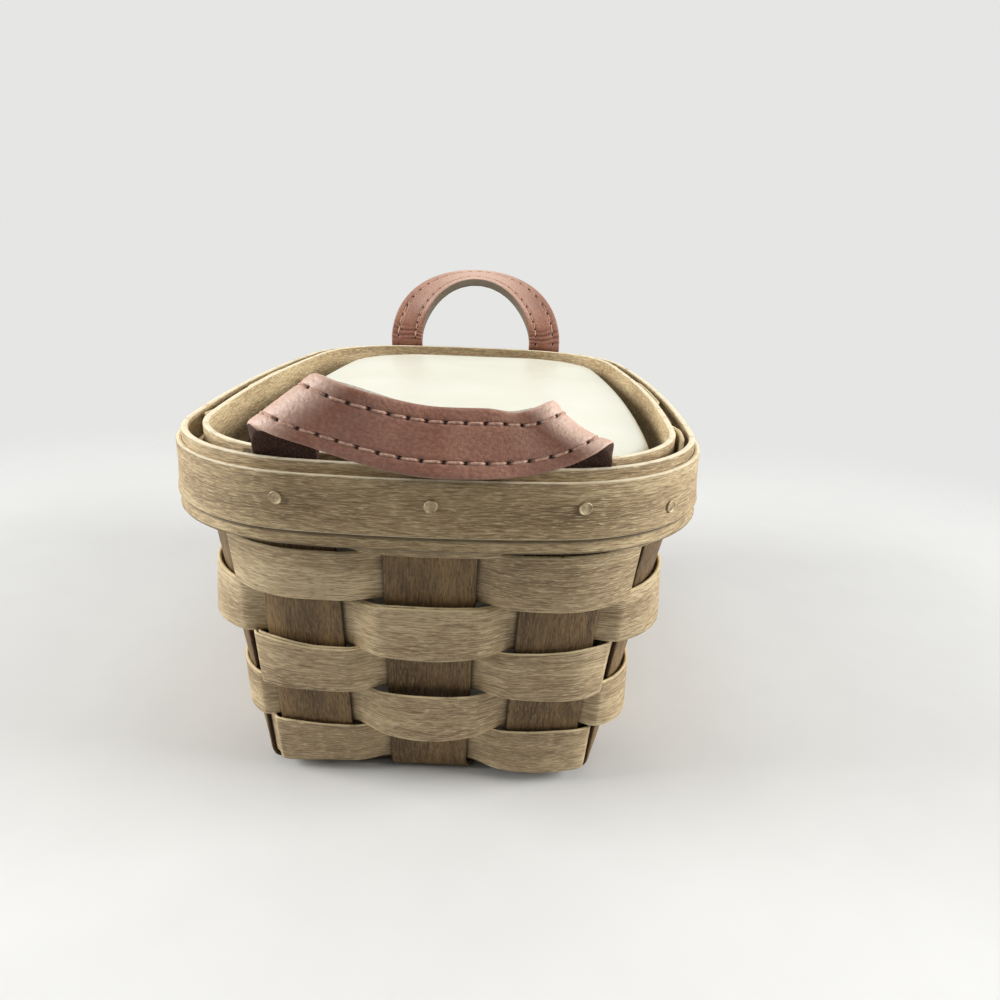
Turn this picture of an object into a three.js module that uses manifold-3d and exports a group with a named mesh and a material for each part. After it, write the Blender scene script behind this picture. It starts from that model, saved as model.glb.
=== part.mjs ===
// Lidded tea basket: a splint basket woven on sixteen uprights, three rim bands held by tacks, two folded
// leather ears, a liner tub standing in the basket and a domed lid on the tub.
// Millimetres, +Z up. X runs across the basket, Y along it, and the origin is the middle of the base.
import * as THREE from "three";
import { mergeVertices } from "three/addons/utils/BufferGeometryUtils.js";
import Module from "manifold-3d";

// Rim, measured over the outer band
const RIM_LENGTH = 177.8;
const RIM_WIDTH = 125;
const RIM_HEIGHT = 89;
const RIM_END_RADIUS = 265;
const RIM_SIDE_RADIUS = 470;
const RIM_CORNER_RADIUS = 39;

// Base, measured between the middles of the turned-up splints
const BASE_LENGTH = 124;
const BASE_WIDTH = 80;
const BASE_CORNER_RADIUS = 4;
const BASE_BOW_RADIUS = 3000;

// Splints that cross in the base and turn up as the uprights
const SPLINT_THICKNESS = 0.9;
const UPRIGHT_WIDTH = 19;
const LONG_SPLINTS = 3;
const LONG_SPLINT_MARGIN = 3.1;
const CROSS_SPLINTS = 5;
const CROSS_SPLINT_MARGIN = 1.7;
const UPRIGHT_TOP_DROP = 1.2;
const BEND_CHAMFER = 0.6;

// Weavers, counted from the base up; the rows share out the wall up to the bands
const WEAVER_ROWS = 6;
const WEAVER_FIRST_HEIGHT = 3.2;
const WEAVER_ROW_GAP = 0.5;
const TOP_ROW_SHOWING = 2.4;
const WEAVER_BULGE_TOP = 0.6;
const WEAVER_BULGE_FOOT = 3;
const END_JOINT_GAP = 0.6;
const LAP_START_INDICES = [12, 5, 14, 15, 8, 10];

// Rim bands
const BAND_THICKNESSES = { outer: 1.2, middle: 1.8, inner: 1.6 };
const OUTER_BAND_HEIGHT = 11.7;
const OUTER_BAND_DROP = 2.5;
const MIDDLE_BAND_HEIGHT = 17.4;
const INNER_BAND_DROP = 0.5;
const SCARF_LENGTH = 30;
const SCARF_RUN_OUT = 3;
const SCARF_TIP = 0.3;
const SCARF_INDICES = { outer: 5, middle: 10, inner: 7 };
const LAYER_GAP = 0.2;

// Tacks
const TACK_HEAD_RADIUS = 1.6;
const TACK_HEAD_EDGE = 0.3;
const TACK_HEAD_CROWN = 0.8;
const TACK_CROWN_RADIUS = 0.9;
const TACK_CROWN_RISE = 0.68;
const TACK_SHANK_RADIUS = 0.6;
const TACK_HOLE_CLEARANCE = 0.2;
const TACK_SEAT_GAP = 0.15;
const TACK_RISE = 0.75;

// Leather ears: each strap end is thinned and tucked under the middle band, the loop swings above it
const STRAP_WIDTH = 12.7;
const STRAP_THICKNESS = 3;
const STRAP_END_THICKNESS = 1.1;
const STRAP_END_DEPTH = 12;
const EAR_HALF_SPAN = 27.8;
const EAR_PIVOT_RISE = 2;
const EAR_GAP = 0.3;
const REAR_EAR_HEIGHT = 25.5;
const REAR_EAR_LEAN = 3;
const REAR_EAR_TWIST = 76;
const FRONT_EAR_LEGS = { left: 3, right: 1.5 };
const FRONT_EAR_FOLD_SLOPES = { left: 41, right: 32 };
const FRONT_EAR_FOLD_RADIUS = 3;
const FRONT_EAR_LOW_X = 5.8;
const FRONT_EAR_SAG = 2.2;
const FRONT_EAR_OVERHANG = 0.3;
const FRONT_EAR_LEAN = 23;

// Liner tub and lid
const LINER_FOOT_END_GAP = 4;
const LINER_FOOT_SIDE_GAP = 5;
const LINER_CORNER_STEP = 18;
const LINER_BASE_RADIUS = 10;
const LINER_WALL = 1.2;
const LINER_FOOT_FILLET = 3;
const LINER_FLANGE = 1.2;
const LINER_FLANGE_HEIGHT = 2;
const LINER_END_BOW_RADIUS = 1500;
const LINER_SIDE_BOW_RADIUS = 600;
const LID_END_GAP = 2.4;
const LID_SIDE_GAP = 4.2;
const LID_EDGE_DROP = 2.6;
const LID_WALL = 1.3;
const LID_SKIRT = 6;
const LID_EDGE_ROUND = 2.4;
const LID_CROWN = 1.6;
const SEAT_GAP = 0.3;

// Facets
const CORNER_STEPS = 5;
const PLAN_STEPS = { end: 2, corner: 5, side: 2 };
const TACK_SIDES = 8;
const REAR_EAR_STEPS = 12;
const FOLD_STEPS = 6;
const FRONT_RUN_STEPS = 6;
const LEG_END_ANGLES = [78, 45];
const CROWN_SHARES = [0.16, 0.5];
const ROUND_MIDDLE = 0.3;

const wasm = await Module();
wasm.setup();

// Worked-out places
const MIDDLE_BAND_FACE = BAND_THICKNESSES.outer + LAYER_GAP;
const SLOT_FACE = MIDDLE_BAND_FACE + BAND_THICKNESSES.middle;
const STRAP_END_INSET = SLOT_FACE + LAYER_GAP + STRAP_END_THICKNESS / 2;
const WALL_INSET = STRAP_END_INSET + STRAP_END_THICKNESS / 2 + LAYER_GAP + SPLINT_THICKNESS / 2;
const INNER_BAND_INSET = WALL_INSET + 1.5 * SPLINT_THICKNESS + 2 * LAYER_GAP;
const RIM_INSIDE = INNER_BAND_INSET + BAND_THICKNESSES.inner;
const BAND_FOOT = RIM_HEIGHT - MIDDLE_BAND_HEIGHT;
const UPRIGHT_TOP = RIM_HEIGHT - UPRIGHT_TOP_DROP;
const OUTER_BAND_FOOT = RIM_HEIGHT - OUTER_BAND_DROP - OUTER_BAND_HEIGHT;
const LAYER_STEP = SPLINT_THICKNESS + LAYER_GAP;
const LONG_PITCH = (BASE_WIDTH - 2 * LONG_SPLINT_MARGIN - UPRIGHT_WIDTH) / (LONG_SPLINTS - 1);
const CROSS_PITCH = (BASE_LENGTH - 2 * CROSS_SPLINT_MARGIN - UPRIGHT_WIDTH) / (CROSS_SPLINTS - 1);
const WEAVER_PITCH = (BAND_FOOT - TOP_ROW_SHOWING - WEAVER_FIRST_HEIGHT) / (WEAVER_ROWS - 1);
const WEAVER_WIDTH = WEAVER_PITCH - WEAVER_ROW_GAP;
const TACK_HEIGHT = OUTER_BAND_FOOT + OUTER_BAND_HEIGHT / 2 + TACK_RISE;
const PIVOT_HEIGHT = RIM_HEIGHT + EAR_PIVOT_RISE;
const BASE_TOP = SPLINT_THICKNESS + LAYER_STEP;

const mix = (a, b, t) => a + (b - a) * t;
const smooth = (t) => t * t * (3 - 2 * t);
const clamp01 = (t) => Math.min(Math.max(t, 0), 1);

// A four-centred oval: end arc, corner arc and side arc meet tangent to each other in each quarter.
// Lengths along it start at the middle of the -Y end and run towards +X.
class Oval {
  constructor({ halfWidth, halfLength, endRadius, sideRadius, cornerRadius }) {
    this.endRadius = endRadius;
    this.sideRadius = sideRadius;
    this.cornerRadius = cornerRadius;
    this.endCentre = new THREE.Vector2(0, endRadius - halfLength);
    this.sideCentre = new THREE.Vector2(halfWidth - sideRadius, 0);
    this.cornerCentre = this.findCornerCentre();
    const fromEnd = this.cornerCentre.clone().sub(this.endCentre);
    const fromSide = this.cornerCentre.clone().sub(this.sideCentre);
    this.endAngle = Math.atan2(fromEnd.y, fromEnd.x);
    this.sideAngle = Math.atan2(fromSide.y, fromSide.x);
    this.endLength = endRadius * (this.endAngle + Math.PI / 2);
    this.cornerLength = cornerRadius * (this.sideAngle - this.endAngle);
    this.quarter = this.endLength + this.cornerLength - sideRadius * this.sideAngle;
  }

  // The corner circle touches both big circles from inside, so its centre is where two circles cross.
  findCornerCentre() {
    const toEnd = this.endRadius - this.cornerRadius;
    const toSide = this.sideRadius - this.cornerRadius;
    const line = this.sideCentre.clone().sub(this.endCentre);
    const apart = line.length();
    const along = (toEnd ** 2 - toSide ** 2 + apart ** 2) / (2 * apart);
    const off = Math.sqrt(toEnd ** 2 - along ** 2);
    line.normalize();
    const square = new THREE.Vector2(-line.y, line.x);
    const first = this.endCentre.clone().addScaledVector(line, along).addScaledVector(square, off);
    const second = this.endCentre.clone().addScaledVector(line, along).addScaledVector(square, -off);
    return first.x - first.y > second.x - second.y ? first : second;
  }

  // Length along the first quarter to where it reaches a given x, and to where it reaches a given y.
  lengthAtX(x) {
    if (x <= this.endRadius * Math.cos(this.endAngle)) {
      return this.endRadius * (Math.PI / 2 - Math.acos(x / this.endRadius));
    }
    const angle = -Math.acos((x - this.cornerCentre.x) / this.cornerRadius);
    return this.endLength + this.cornerRadius * (angle - this.endAngle);
  }

  lengthAtY(y) {
    if (y >= this.sideRadius * Math.sin(this.sideAngle)) {
      return this.quarter + this.sideRadius * Math.asin(y / this.sideRadius);
    }
    const angle = Math.asin((y - this.cornerCentre.y) / this.cornerRadius);
    return this.endLength + this.cornerRadius * (angle - this.endAngle);
  }

  // Point and outward normal at a length, moved out by an offset; mirrored from the first quarter.
  at(length, offset = 0) {
    const whole = 4 * this.quarter;
    let s = ((length % whole) + whole) % whole;
    const left = s > 2 * this.quarter;
    if (left) s = whole - s;
    const back = s > this.quarter;
    if (back) s = 2 * this.quarter - s;
    let centre = this.sideCentre;
    let radius = this.sideRadius;
    let angle = (s - this.quarter) / this.sideRadius;
    if (s < this.endLength) {
      centre = this.endCentre;
      radius = this.endRadius;
      angle = s / this.endRadius - Math.PI / 2;
    } else if (s < this.endLength + this.cornerLength) {
      centre = this.cornerCentre;
      radius = this.cornerRadius;
      angle = this.endAngle + (s - this.endLength) / this.cornerRadius;
    }
    const normal = new THREE.Vector2(Math.cos(angle), Math.sin(angle));
    const point = centre.clone().addScaledVector(normal, radius + offset);
    const flip = new THREE.Vector2(left ? -1 : 1, back ? -1 : 1);
    return { point: point.multiply(flip), normal: normal.multiply(flip) };
  }
}

// The wall's middle surface: straight from the base to the foot of the bands, upright behind the bands.
function wallOval(height) {
  const share = clamp01(height / BAND_FOOT);
  const curvature = (rim) => 1 / mix(1 / BASE_BOW_RADIUS, 1 / (rim - WALL_INSET), share);
  return new Oval({
    halfWidth: mix(BASE_WIDTH / 2, RIM_WIDTH / 2 - WALL_INSET, share),
    halfLength: mix(BASE_LENGTH / 2, RIM_LENGTH / 2 - WALL_INSET, share),
    endRadius: curvature(RIM_END_RADIUS),
    sideRadius: curvature(RIM_SIDE_RADIUS),
    cornerRadius: mix(BASE_CORNER_RADIUS, RIM_CORNER_RADIUS - WALL_INSET, share),
  });
}

// Uprights in order round the wall, from the middle of the -Y end towards +X
const spread = (count, pitch) => Array.from({ length: count }, (_, i) => (i - (count - 1) / 2) * pitch);
const longPlaces = spread(LONG_SPLINTS, LONG_PITCH);
const crossPlaces = spread(CROSS_SPLINTS, CROSS_PITCH);
const endRight = longPlaces.filter((x) => x >= 0);
const endLeft = longPlaces.filter((x) => x < 0);
const uprights = [
  ...endRight.map((place) => ({ side: "front", place })),
  ...crossPlaces.map((place) => ({ side: "right", place })),
  ...longPlaces.toReversed().map((place) => ({ side: "back", place })),
  ...crossPlaces.toReversed().map((place) => ({ side: "left", place })),
  ...endLeft.map((place) => ({ side: "front", place })),
];
const UPRIGHT_COUNT = uprights.length;
const wrap = (index) => ((index % UPRIGHT_COUNT) + UPRIGHT_COUNT) % UPRIGHT_COUNT;

// Length round an oval at a place on one of its four sides
function lengthAt(oval, side, place) {
  const end = Math.sign(place) * oval.lengthAtX(Math.abs(place));
  const flank = place <= 0 ? oval.lengthAtY(place) : 2 * oval.quarter - oval.lengthAtY(-place);
  if (side === "front") return (end + 4 * oval.quarter) % (4 * oval.quarter);
  if (side === "right") return flank;
  if (side === "back") return 2 * oval.quarter - end;
  return 4 * oval.quarter - flank;
}

// Stations round the wall are counted in uprights: a whole number is an upright's middle, EDGE to either side
// of it is its edges, and the rest is the gap to the next upright.
const EDGE = 0.35;
const isEndSide = (side) => side === "front" || side === "back";
const isCornerGap = (index) =>
  isEndSide(uprights[wrap(index)].side) !== isEndSide(uprights[wrap(index + 1)].side);

function edgeLength(oval, index, across) {
  const { side, place } = uprights[wrap(index)];
  const turn = side === "back" || side === "left" ? -1 : 1;
  const length = lengthAt(oval, side, place + (turn * across * UPRIGHT_WIDTH) / 2);
  const whole = 4 * oval.quarter;
  const laps = Math.floor(index / UPRIGHT_COUNT);
  const beforeStart = wrap(index) === 0 && length > whole / 2;
  return length + whole * (beforeStart ? laps - 1 : laps);
}

function stationLength(oval, station) {
  const index = Math.round(station);
  const rest = station - index;
  if (Math.abs(rest) <= EDGE) return edgeLength(oval, index, rest / EDGE);
  const before = Math.floor(station);
  const share = (station - before - EDGE) / (1 - 2 * EDGE);
  return mix(edgeLength(oval, before, 1), edgeLength(oval, before + 1, -1), share);
}

// Every station from one upright's middle to another's, including those two
const ACROSS = [-1, -1 / 3, 1 / 3, 1];
function stationsBetween(first, last) {
  const stations = [first];
  for (let index = first; index < last; index += 1) {
    const gapSteps = isCornerGap(index) ? CORNER_STEPS : 2;
    stations.push(index + EDGE / 3, index + EDGE);
    for (let step = 1; step < gapSteps; step += 1) {
      stations.push(index + EDGE + ((1 - 2 * EDGE) * step) / gapSteps);
    }
    stations.push(index + 1 - EDGE, index + 1 - EDGE / 3);
  }
  stations.push(last);
  return stations;
}

function wallPoint(station, height, offset) {
  const oval = wallOval(height);
  const { point } = oval.at(stationLength(oval, station), offset);
  return new THREE.Vector3(point.x, point.y, height);
}

// A closed geometry from vertices and triangles, turned so that its faces point out
function closedGeometry(vertices, triangles) {
  const volume = triangles.reduce((sum, [a, b, c]) => {
    const cross = new THREE.Vector3().crossVectors(vertices[b], vertices[c]);
    return sum + vertices[a].dot(cross);
  }, 0);
  const facing = volume < 0 ? triangles.map(([a, b, c]) => [a, c, b]) : triangles;
  const geometry = new THREE.BufferGeometry();
  const positions = vertices.flatMap((vertex) => vertex.toArray());
  geometry.setAttribute("position", new THREE.Float32BufferAttribute(positions, 3));
  geometry.setIndex(facing.flat());
  return geometry;
}

// True where splitting a twisted quad from a to c would make a valley, seen from outside the basket
function makesValley(a, b, c, d) {
  const [toB, toC, toD] = [b, c, d].map((point) => point.clone().sub(a));
  const facing = new THREE.Vector3().crossVectors(toB, toD);
  const outward = Math.sign(facing.x * (a.x + c.x) + facing.y * (a.y + c.y));
  return outward * new THREE.Vector3().crossVectors(toB, toC).dot(toD) > 0;
}

// A strip with two faces, each a grid of rows along it and columns across it, closed round its border.
// Its quads are split along ridges, so that strips lying on each other fold alike.
function strip(face, backFace) {
  const rows = face.length;
  const columns = face[0].length;
  const vertices = [...face.flat(), ...backFace.flat()];
  const front = (row, column) => row * columns + column;
  const back = (row, column) => rows * columns + front(row, column);
  const triangles = [];
  const quad = (a, b, c, d) => {
    const isValley = makesValley(...[a, b, c, d].map((index) => vertices[index]));
    triangles.push(...(isValley ? [[a, b, d], [b, c, d]] : [[a, b, c], [a, c, d]]));
  };
  for (let row = 0; row < rows - 1; row += 1) {
    for (let column = 0; column < columns - 1; column += 1) {
      quad(front(row, column), front(row + 1, column), front(row + 1, column + 1), front(row, column + 1));
      quad(back(row, column), back(row, column + 1), back(row + 1, column + 1), back(row + 1, column));
    }
    quad(front(row, 0), back(row, 0), back(row + 1, 0), front(row + 1, 0));
    const last = columns - 1;
    quad(front(row, last), front(row + 1, last), back(row + 1, last), back(row, last));
  }
  for (let column = 0; column < columns - 1; column += 1) {
    quad(front(0, column), front(0, column + 1), back(0, column + 1), back(0, column));
    const end = rows - 1;
    quad(front(end, column), back(end, column), back(end, column + 1), front(end, column + 1));
  }
  return closedGeometry(vertices, triangles);
}

// A shell through closed rings, capped by a fan at the first and the last ring
function ringShell(rings) {
  const count = rings[0].length;
  const middle = (ring) => ring.reduce((sum, p) => sum.add(p), new THREE.Vector3()).divideScalar(count);
  const vertices = [...rings.flat(), middle(rings[0]), middle(rings.at(-1))];
  const triangles = [];
  for (let i = 0; i < count; i += 1) {
    const next = (i + 1) % count;
    for (let ring = 0; ring < rings.length - 1; ring += 1) {
      const low = ring * count;
      const high = low + count;
      triangles.push([low + i, low + next, high + next], [low + i, high + next, high + i]);
    }
    const top = (rings.length - 1) * count;
    triangles.push([vertices.length - 2, next, i], [vertices.length - 1, top + i, top + next]);
  }
  return closedGeometry(vertices, triangles);
}

// Boolean cut on closed geometries
function toSolid(geometry) {
  const bare = geometry.clone();
  bare.deleteAttribute("normal");
  bare.deleteAttribute("uv");
  const merged = mergeVertices(bare);
  const vertProperties = merged.attributes.position.array;
  const triVerts = new Uint32Array(merged.index.array);
  return new wasm.Manifold(new wasm.Mesh({ numProp: 3, vertProperties, triVerts }));
}

function cut(geometry, tools) {
  const solid = tools.reduce((rest, tool) => rest.subtract(toSolid(tool)), toSolid(geometry));
  const mesh = solid.getMesh();
  const result = new THREE.BufferGeometry();
  result.setAttribute("position", new THREE.BufferAttribute(new Float32Array(mesh.vertProperties), 3));
  result.setIndex(new THREE.BufferAttribute(mesh.triVerts, 1));
  return result;
}

const finish = (color, roughness, metalness = 0) =>
  new THREE.MeshStandardMaterial({ color, roughness, metalness });
const FINISHES = {
  splint: finish(0x6e5738, 0.75),
  weaver: finish(0x8c7a5c, 0.7),
  band: finish(0x8a795a, 0.65),
  leather: finish(0x8c5347, 0.6),
  tack: finish(0x84755a, 0.45, 0.8),
  liner: finish(0xe4e6e2, 0.3),
  lid: finish(0xeceee4, 0.35),
};

const basket = new THREE.Group();
function addPiece(name, geometry, finishName) {
  const mesh = new THREE.Mesh(geometry, FINISHES[finishName]);
  mesh.name = name;
  basket.add(mesh);
  return mesh;
}

// Splints: a plain-woven base whose splints turn up at both ends into the wall.
// crossings are the places of the splints that it crosses; underFirst says whether it passes under the first.
function splintGeometry({ place, isLong, crossings, underFirst }) {
  const half = SPLINT_THICKNESS / 2;
  const reach = (isLong ? BASE_LENGTH : BASE_WIDTH) / 2;
  const level = (index) => ((index % 2 === 0) === underFirst ? half : half + LAYER_STEP);
  const wallHeights = [UPRIGHT_TOP, BAND_FOOT];
  for (let row = WEAVER_ROWS - 2; row >= 0; row -= 1) {
    wallHeights.push(WEAVER_FIRST_HEIGHT + row * WEAVER_PITCH);
  }
  const faces = { out: [], in: [] };
  const columns = ACROSS.map((share) => place + (share * UPRIGHT_WIDTH) / 2);
  const toWorld = (along, across, height) =>
    isLong ? new THREE.Vector3(across, along, height) : new THREE.Vector3(along, across, height);
  const onWall = (sign, across, height, offset) => {
    const oval = wallOval(height);
    const { point } = oval.at(lengthAt(oval, isLong ? "back" : "right", across), offset);
    return isLong ? toWorld(sign * point.y, point.x, height) : toWorld(sign * point.x, point.y, height);
  };
  const addWall = (sign, heights) => {
    for (const height of heights) {
      faces.out.push(columns.map((across) => onWall(sign, across, height, half)));
      faces.in.push(columns.map((across) => onWall(sign, across, height, -half)));
    }
  };
  const addFloor = (alongOut, heightOut, alongIn, heightIn) => {
    faces.out.push(columns.map((c) => toWorld(alongOut, c, heightOut)));
    faces.in.push(columns.map((c) => toWorld(alongIn, c, heightIn)));
  };
  const addBend = (sign, height) => {
    const inner = reach - half;
    const steps = [
      [reach + half, height - half + BEND_CHAMFER, inner, height + half + BEND_CHAMFER / 2],
      [reach + half - BEND_CHAMFER, height - half, inner - BEND_CHAMFER / 2, height + half],
    ];
    for (const [alongOut, heightOut, alongIn, heightIn] of sign < 0 ? steps : steps.toReversed()) {
      addFloor(sign * alongOut, heightOut, sign * alongIn, heightIn);
    }
  };
  addWall(-1, wallHeights);
  addBend(-1, level(0));
  crossings.forEach((crossing, index) => {
    const height = level(index);
    for (const edge of [-1, 1]) {
      const isOuter = (index === 0 && edge < 0) || (index === crossings.length - 1 && edge > 0);
      const along = crossing + (edge * UPRIGHT_WIDTH) / 2;
      if (!isOuter) addFloor(along, height - half, along, height + half);
    }
  });
  addBend(1, level(crossings.length - 1));
  addWall(1, wallHeights.toReversed());
  return strip(faces.out, faces.in);
}

longPlaces.forEach((place, index) => {
  const underFirst = index % 2 === 1;
  const geometry = splintGeometry({ place, isLong: true, crossings: crossPlaces, underFirst });
  addPiece(`long_splint_${index + 1}`, geometry, "splint");
});
crossPlaces.forEach((place, index) => {
  const underFirst = index % 2 === 0;
  const geometry = splintGeometry({ place, isLong: false, crossings: longPlaces, underFirst });
  addPiece(`cross_splint_${index + 1}`, geometry, "splint");
});

// Weavers: each row passes outside every second upright, where its foot bulges clear of the wall.
// isOutside is 1 where a row lies outside the uprights and 0 where it lies inside them.
function isOutside(station, parity) {
  const index = Math.round(station);
  const here = wrap(index + parity) % 2 === 0 ? 1 : 0;
  const rest = station - index;
  if (Math.abs(rest) <= EDGE) return here;
  const share = (station - Math.floor(station) - EDGE) / (1 - 2 * EDGE);
  const before = wrap(Math.floor(station) + parity) % 2 === 0 ? 1 : 0;
  return mix(before, 1 - before, smooth(share));
}

function bulgeAt(station, parity, bulge) {
  const rest = Math.abs(station - Math.round(station)) / EDGE;
  const onOutside = wrap(Math.round(station) + parity) % 2 === 0;
  return onOutside && rest < 1 ? bulge * (1 - rest ** 2) : 0;
}

// lapStart is the inside upright where the row's first end is tucked; a lapped row runs on over two uprights.
function weaverGeometry({ row, parity, lapStart, isLapped, bulgeTop, bulgeFoot }) {
  const lap = isLapped ? 2 : 0;
  const foot = WEAVER_FIRST_HEIGHT + row * WEAVER_PITCH;
  const half = SPLINT_THICKNESS / 2;
  const stations = stationsBetween(lapStart, lapStart + UPRIGHT_COUNT + lap);
  const jointEase = END_JOINT_GAP / UPRIGHT_WIDTH;
  if (!isLapped) stations[stations.length - 1] -= jointEase;
  const layerAt = (station) => {
    const outside = isOutside(station, parity);
    const middle = mix(-LAYER_STEP, LAYER_STEP, outside);
    if (!isLapped) return middle;
    const fromStart = station - lapStart;
    if (fromStart <= lap + EDGE) {
      const ease = smooth(clamp01((lap + EDGE - fromStart) / EDGE));
      return middle - LAYER_STEP * (1 - outside) * ease;
    }
    return fromStart >= UPRIGHT_COUNT ? middle + LAYER_STEP * outside : middle;
  };
  const top = isLapped ? foot + WEAVER_WIDTH : UPRIGHT_TOP;
  const heights = foot < BAND_FOOT && top > BAND_FOOT ? [foot, BAND_FOOT, top] : [foot, top];
  const face = (side) =>
    stations.map((station) => {
      const offset = layerAt(station) + side * half;
      return heights.map((height) => {
        const bulge = mix(bulgeFoot, bulgeTop, (height - foot) / WEAVER_WIDTH);
        return wallPoint(station, height, offset + bulgeAt(station, parity, bulge));
      });
    });
  return strip(face(1), face(-1));
}

for (let row = 0; row < WEAVER_ROWS; row += 1) {
  const isTop = row === WEAVER_ROWS - 1;
  const parity = (row + 1) % 2;
  const geometry = weaverGeometry({
    row,
    parity,
    lapStart: LAP_START_INDICES[row],
    isLapped: !isTop,
    bulgeTop: isTop ? 0 : WEAVER_BULGE_TOP,
    bulgeFoot: isTop ? 0 : WEAVER_BULGE_FOOT,
  });
  addPiece(`weaver_row_${row + 1}`, geometry, "weaver");
}

// Rim bands: each is one strip bent round the wall at a constant distance from its middle surface. Its ends
// are thinned into a scarf joint of constant thickness, which starts at the upright numbered scarfIndex.
function bandGeometry({ faceInset, thickness, foot, height, scarfIndex }) {
  const oval = wallOval(RIM_HEIGHT);
  const whole = 4 * oval.quarter;
  const stations = stationsBetween(scarfIndex, scarfIndex + UPRIGHT_COUNT).slice(0, -1);
  const start = stationLength(oval, scarfIndex);
  const scarfEnd = start + SCARF_LENGTH;
  const lengths = stations.map((station) => stationLength(oval, station));
  lengths.push(...lengths.filter((s) => s > start && s < scarfEnd).map((s) => s + whole));
  lengths.push(scarfEnd, scarfEnd + SCARF_RUN_OUT);
  lengths.push(start + whole - SCARF_RUN_OUT, start + whole, scarfEnd + whole);
  lengths.sort((a, b) => a - b);
  const spare = thickness - 2 * SCARF_TIP - LAYER_GAP;
  const outerFace = (s) => {
    if (s <= scarfEnd) return SCARF_TIP + (spare * (s - start)) / SCARF_LENGTH;
    return mix(SCARF_TIP + spare, thickness, clamp01((s - scarfEnd) / SCARF_RUN_OUT));
  };
  const innerFace = (s) => {
    const past = s - start - whole;
    if (past >= 0) return SCARF_TIP + LAYER_GAP + (spare * past) / SCARF_LENGTH;
    return mix(0, SCARF_TIP + LAYER_GAP, clamp01(1 + past / SCARF_RUN_OUT));
  };
  const face = (depth) =>
    lengths.map((s) => {
      const offset = WALL_INSET - faceInset - thickness + depth(s);
      const { point } = oval.at(s, offset);
      return [foot, foot + height].map((z) => new THREE.Vector3(point.x, point.y, z));
    });
  return strip(face(outerFace), face(innerFace));
}

// Tacks: a domed head on a short shank, one at each upright; those of the ears sit on the straps
const ears = [
  { name: "front", side: "front", outward: -1 },
  { name: "rear", side: "back", outward: 1 },
];
const tackPlaces = uprights.map(({ side, place }) => {
  const isEarTack = isEndSide(side) && place !== 0;
  return { side, place: isEarTack ? Math.sign(place) * EAR_HALF_SPAN : place };
});

function tackGeometry() {
  const profile = [
    [0, -BAND_THICKNESSES.outer],
    [TACK_SHANK_RADIUS, -BAND_THICKNESSES.outer],
    [TACK_SHANK_RADIUS, TACK_SEAT_GAP],
    [TACK_HEAD_RADIUS, TACK_SEAT_GAP],
    [TACK_HEAD_RADIUS, TACK_SEAT_GAP + TACK_HEAD_EDGE],
    [TACK_CROWN_RADIUS, TACK_SEAT_GAP + TACK_CROWN_RISE],
    [0, TACK_SEAT_GAP + TACK_HEAD_CROWN],
  ];
  return new THREE.LatheGeometry(profile.map(([r, y]) => new THREE.Vector2(r, y)), TACK_SIDES);
}

function onOuterBand({ side, place }) {
  const oval = wallOval(RIM_HEIGHT);
  const { point, normal } = oval.at(lengthAt(oval, side, place), WALL_INSET);
  const turn = new THREE.Quaternion().setFromUnitVectors(
    new THREE.Vector3(0, 1, 0),
    new THREE.Vector3(normal.x, normal.y, 0),
  );
  return { position: new THREE.Vector3(point.x, point.y, TACK_HEIGHT), turn };
}

function tackHole(place) {
  const { position, turn } = onOuterBand(place);
  const radius = TACK_SHANK_RADIUS + TACK_HOLE_CLEARANCE;
  const hole = new THREE.CylinderGeometry(radius, radius, 4 * BAND_THICKNESSES.outer, TACK_SIDES);
  return hole.applyQuaternion(turn).translate(...position);
}

const outerBand = bandGeometry({
  faceInset: 0,
  thickness: BAND_THICKNESSES.outer,
  foot: OUTER_BAND_FOOT,
  height: OUTER_BAND_HEIGHT,
  scarfIndex: SCARF_INDICES.outer,
});
addPiece("outer_rim_band", cut(outerBand, tackPlaces.map(tackHole)), "band");
const middleBand = bandGeometry({
  faceInset: MIDDLE_BAND_FACE,
  thickness: BAND_THICKNESSES.middle,
  foot: BAND_FOOT,
  height: MIDDLE_BAND_HEIGHT,
  scarfIndex: SCARF_INDICES.middle,
});
addPiece("middle_rim_band", middleBand, "band");
const innerBand = bandGeometry({
  faceInset: INNER_BAND_INSET,
  thickness: BAND_THICKNESSES.inner,
  foot: BAND_FOOT,
  height: MIDDLE_BAND_HEIGHT - INNER_BAND_DROP,
  scarfIndex: SCARF_INDICES.inner,
});
addPiece("inner_rim_band", innerBand, "band");

tackPlaces.forEach((place, index) => {
  const { position, turn } = onOuterBand(place);
  const tack = addPiece(`tack_${index + 1}`, tackGeometry(), "tack");
  tack.position.copy(position);
  tack.quaternion.copy(turn);
});

// Ear ends: thinned strap tucked between the middle band and the uprights
function earEndGeometry(side, middle) {
  const oval = wallOval(RIM_HEIGHT);
  const offset = WALL_INSET - STRAP_END_INSET;
  const top = PIVOT_HEIGHT - STRAP_THICKNESS / 2 - EAR_GAP;
  const face = (depth) =>
    ACROSS.map((share) => {
      const s = lengthAt(oval, side, middle + (share * STRAP_WIDTH) / 2);
      const { point } = oval.at(s, offset + depth * STRAP_END_THICKNESS);
      return [RIM_HEIGHT - STRAP_END_DEPTH, top].map((z) => new THREE.Vector3(point.x, point.y, z));
    });
  return strip(face(0.5), face(-0.5));
}

// The line about which an ear swings, as a distance from the middle of the basket
function pivotReach() {
  const oval = wallOval(RIM_HEIGHT);
  const { point } = oval.at(lengthAt(oval, "back", EAR_HALF_SPAN), WALL_INSET - STRAP_END_INSET);
  return point.y;
}

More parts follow.
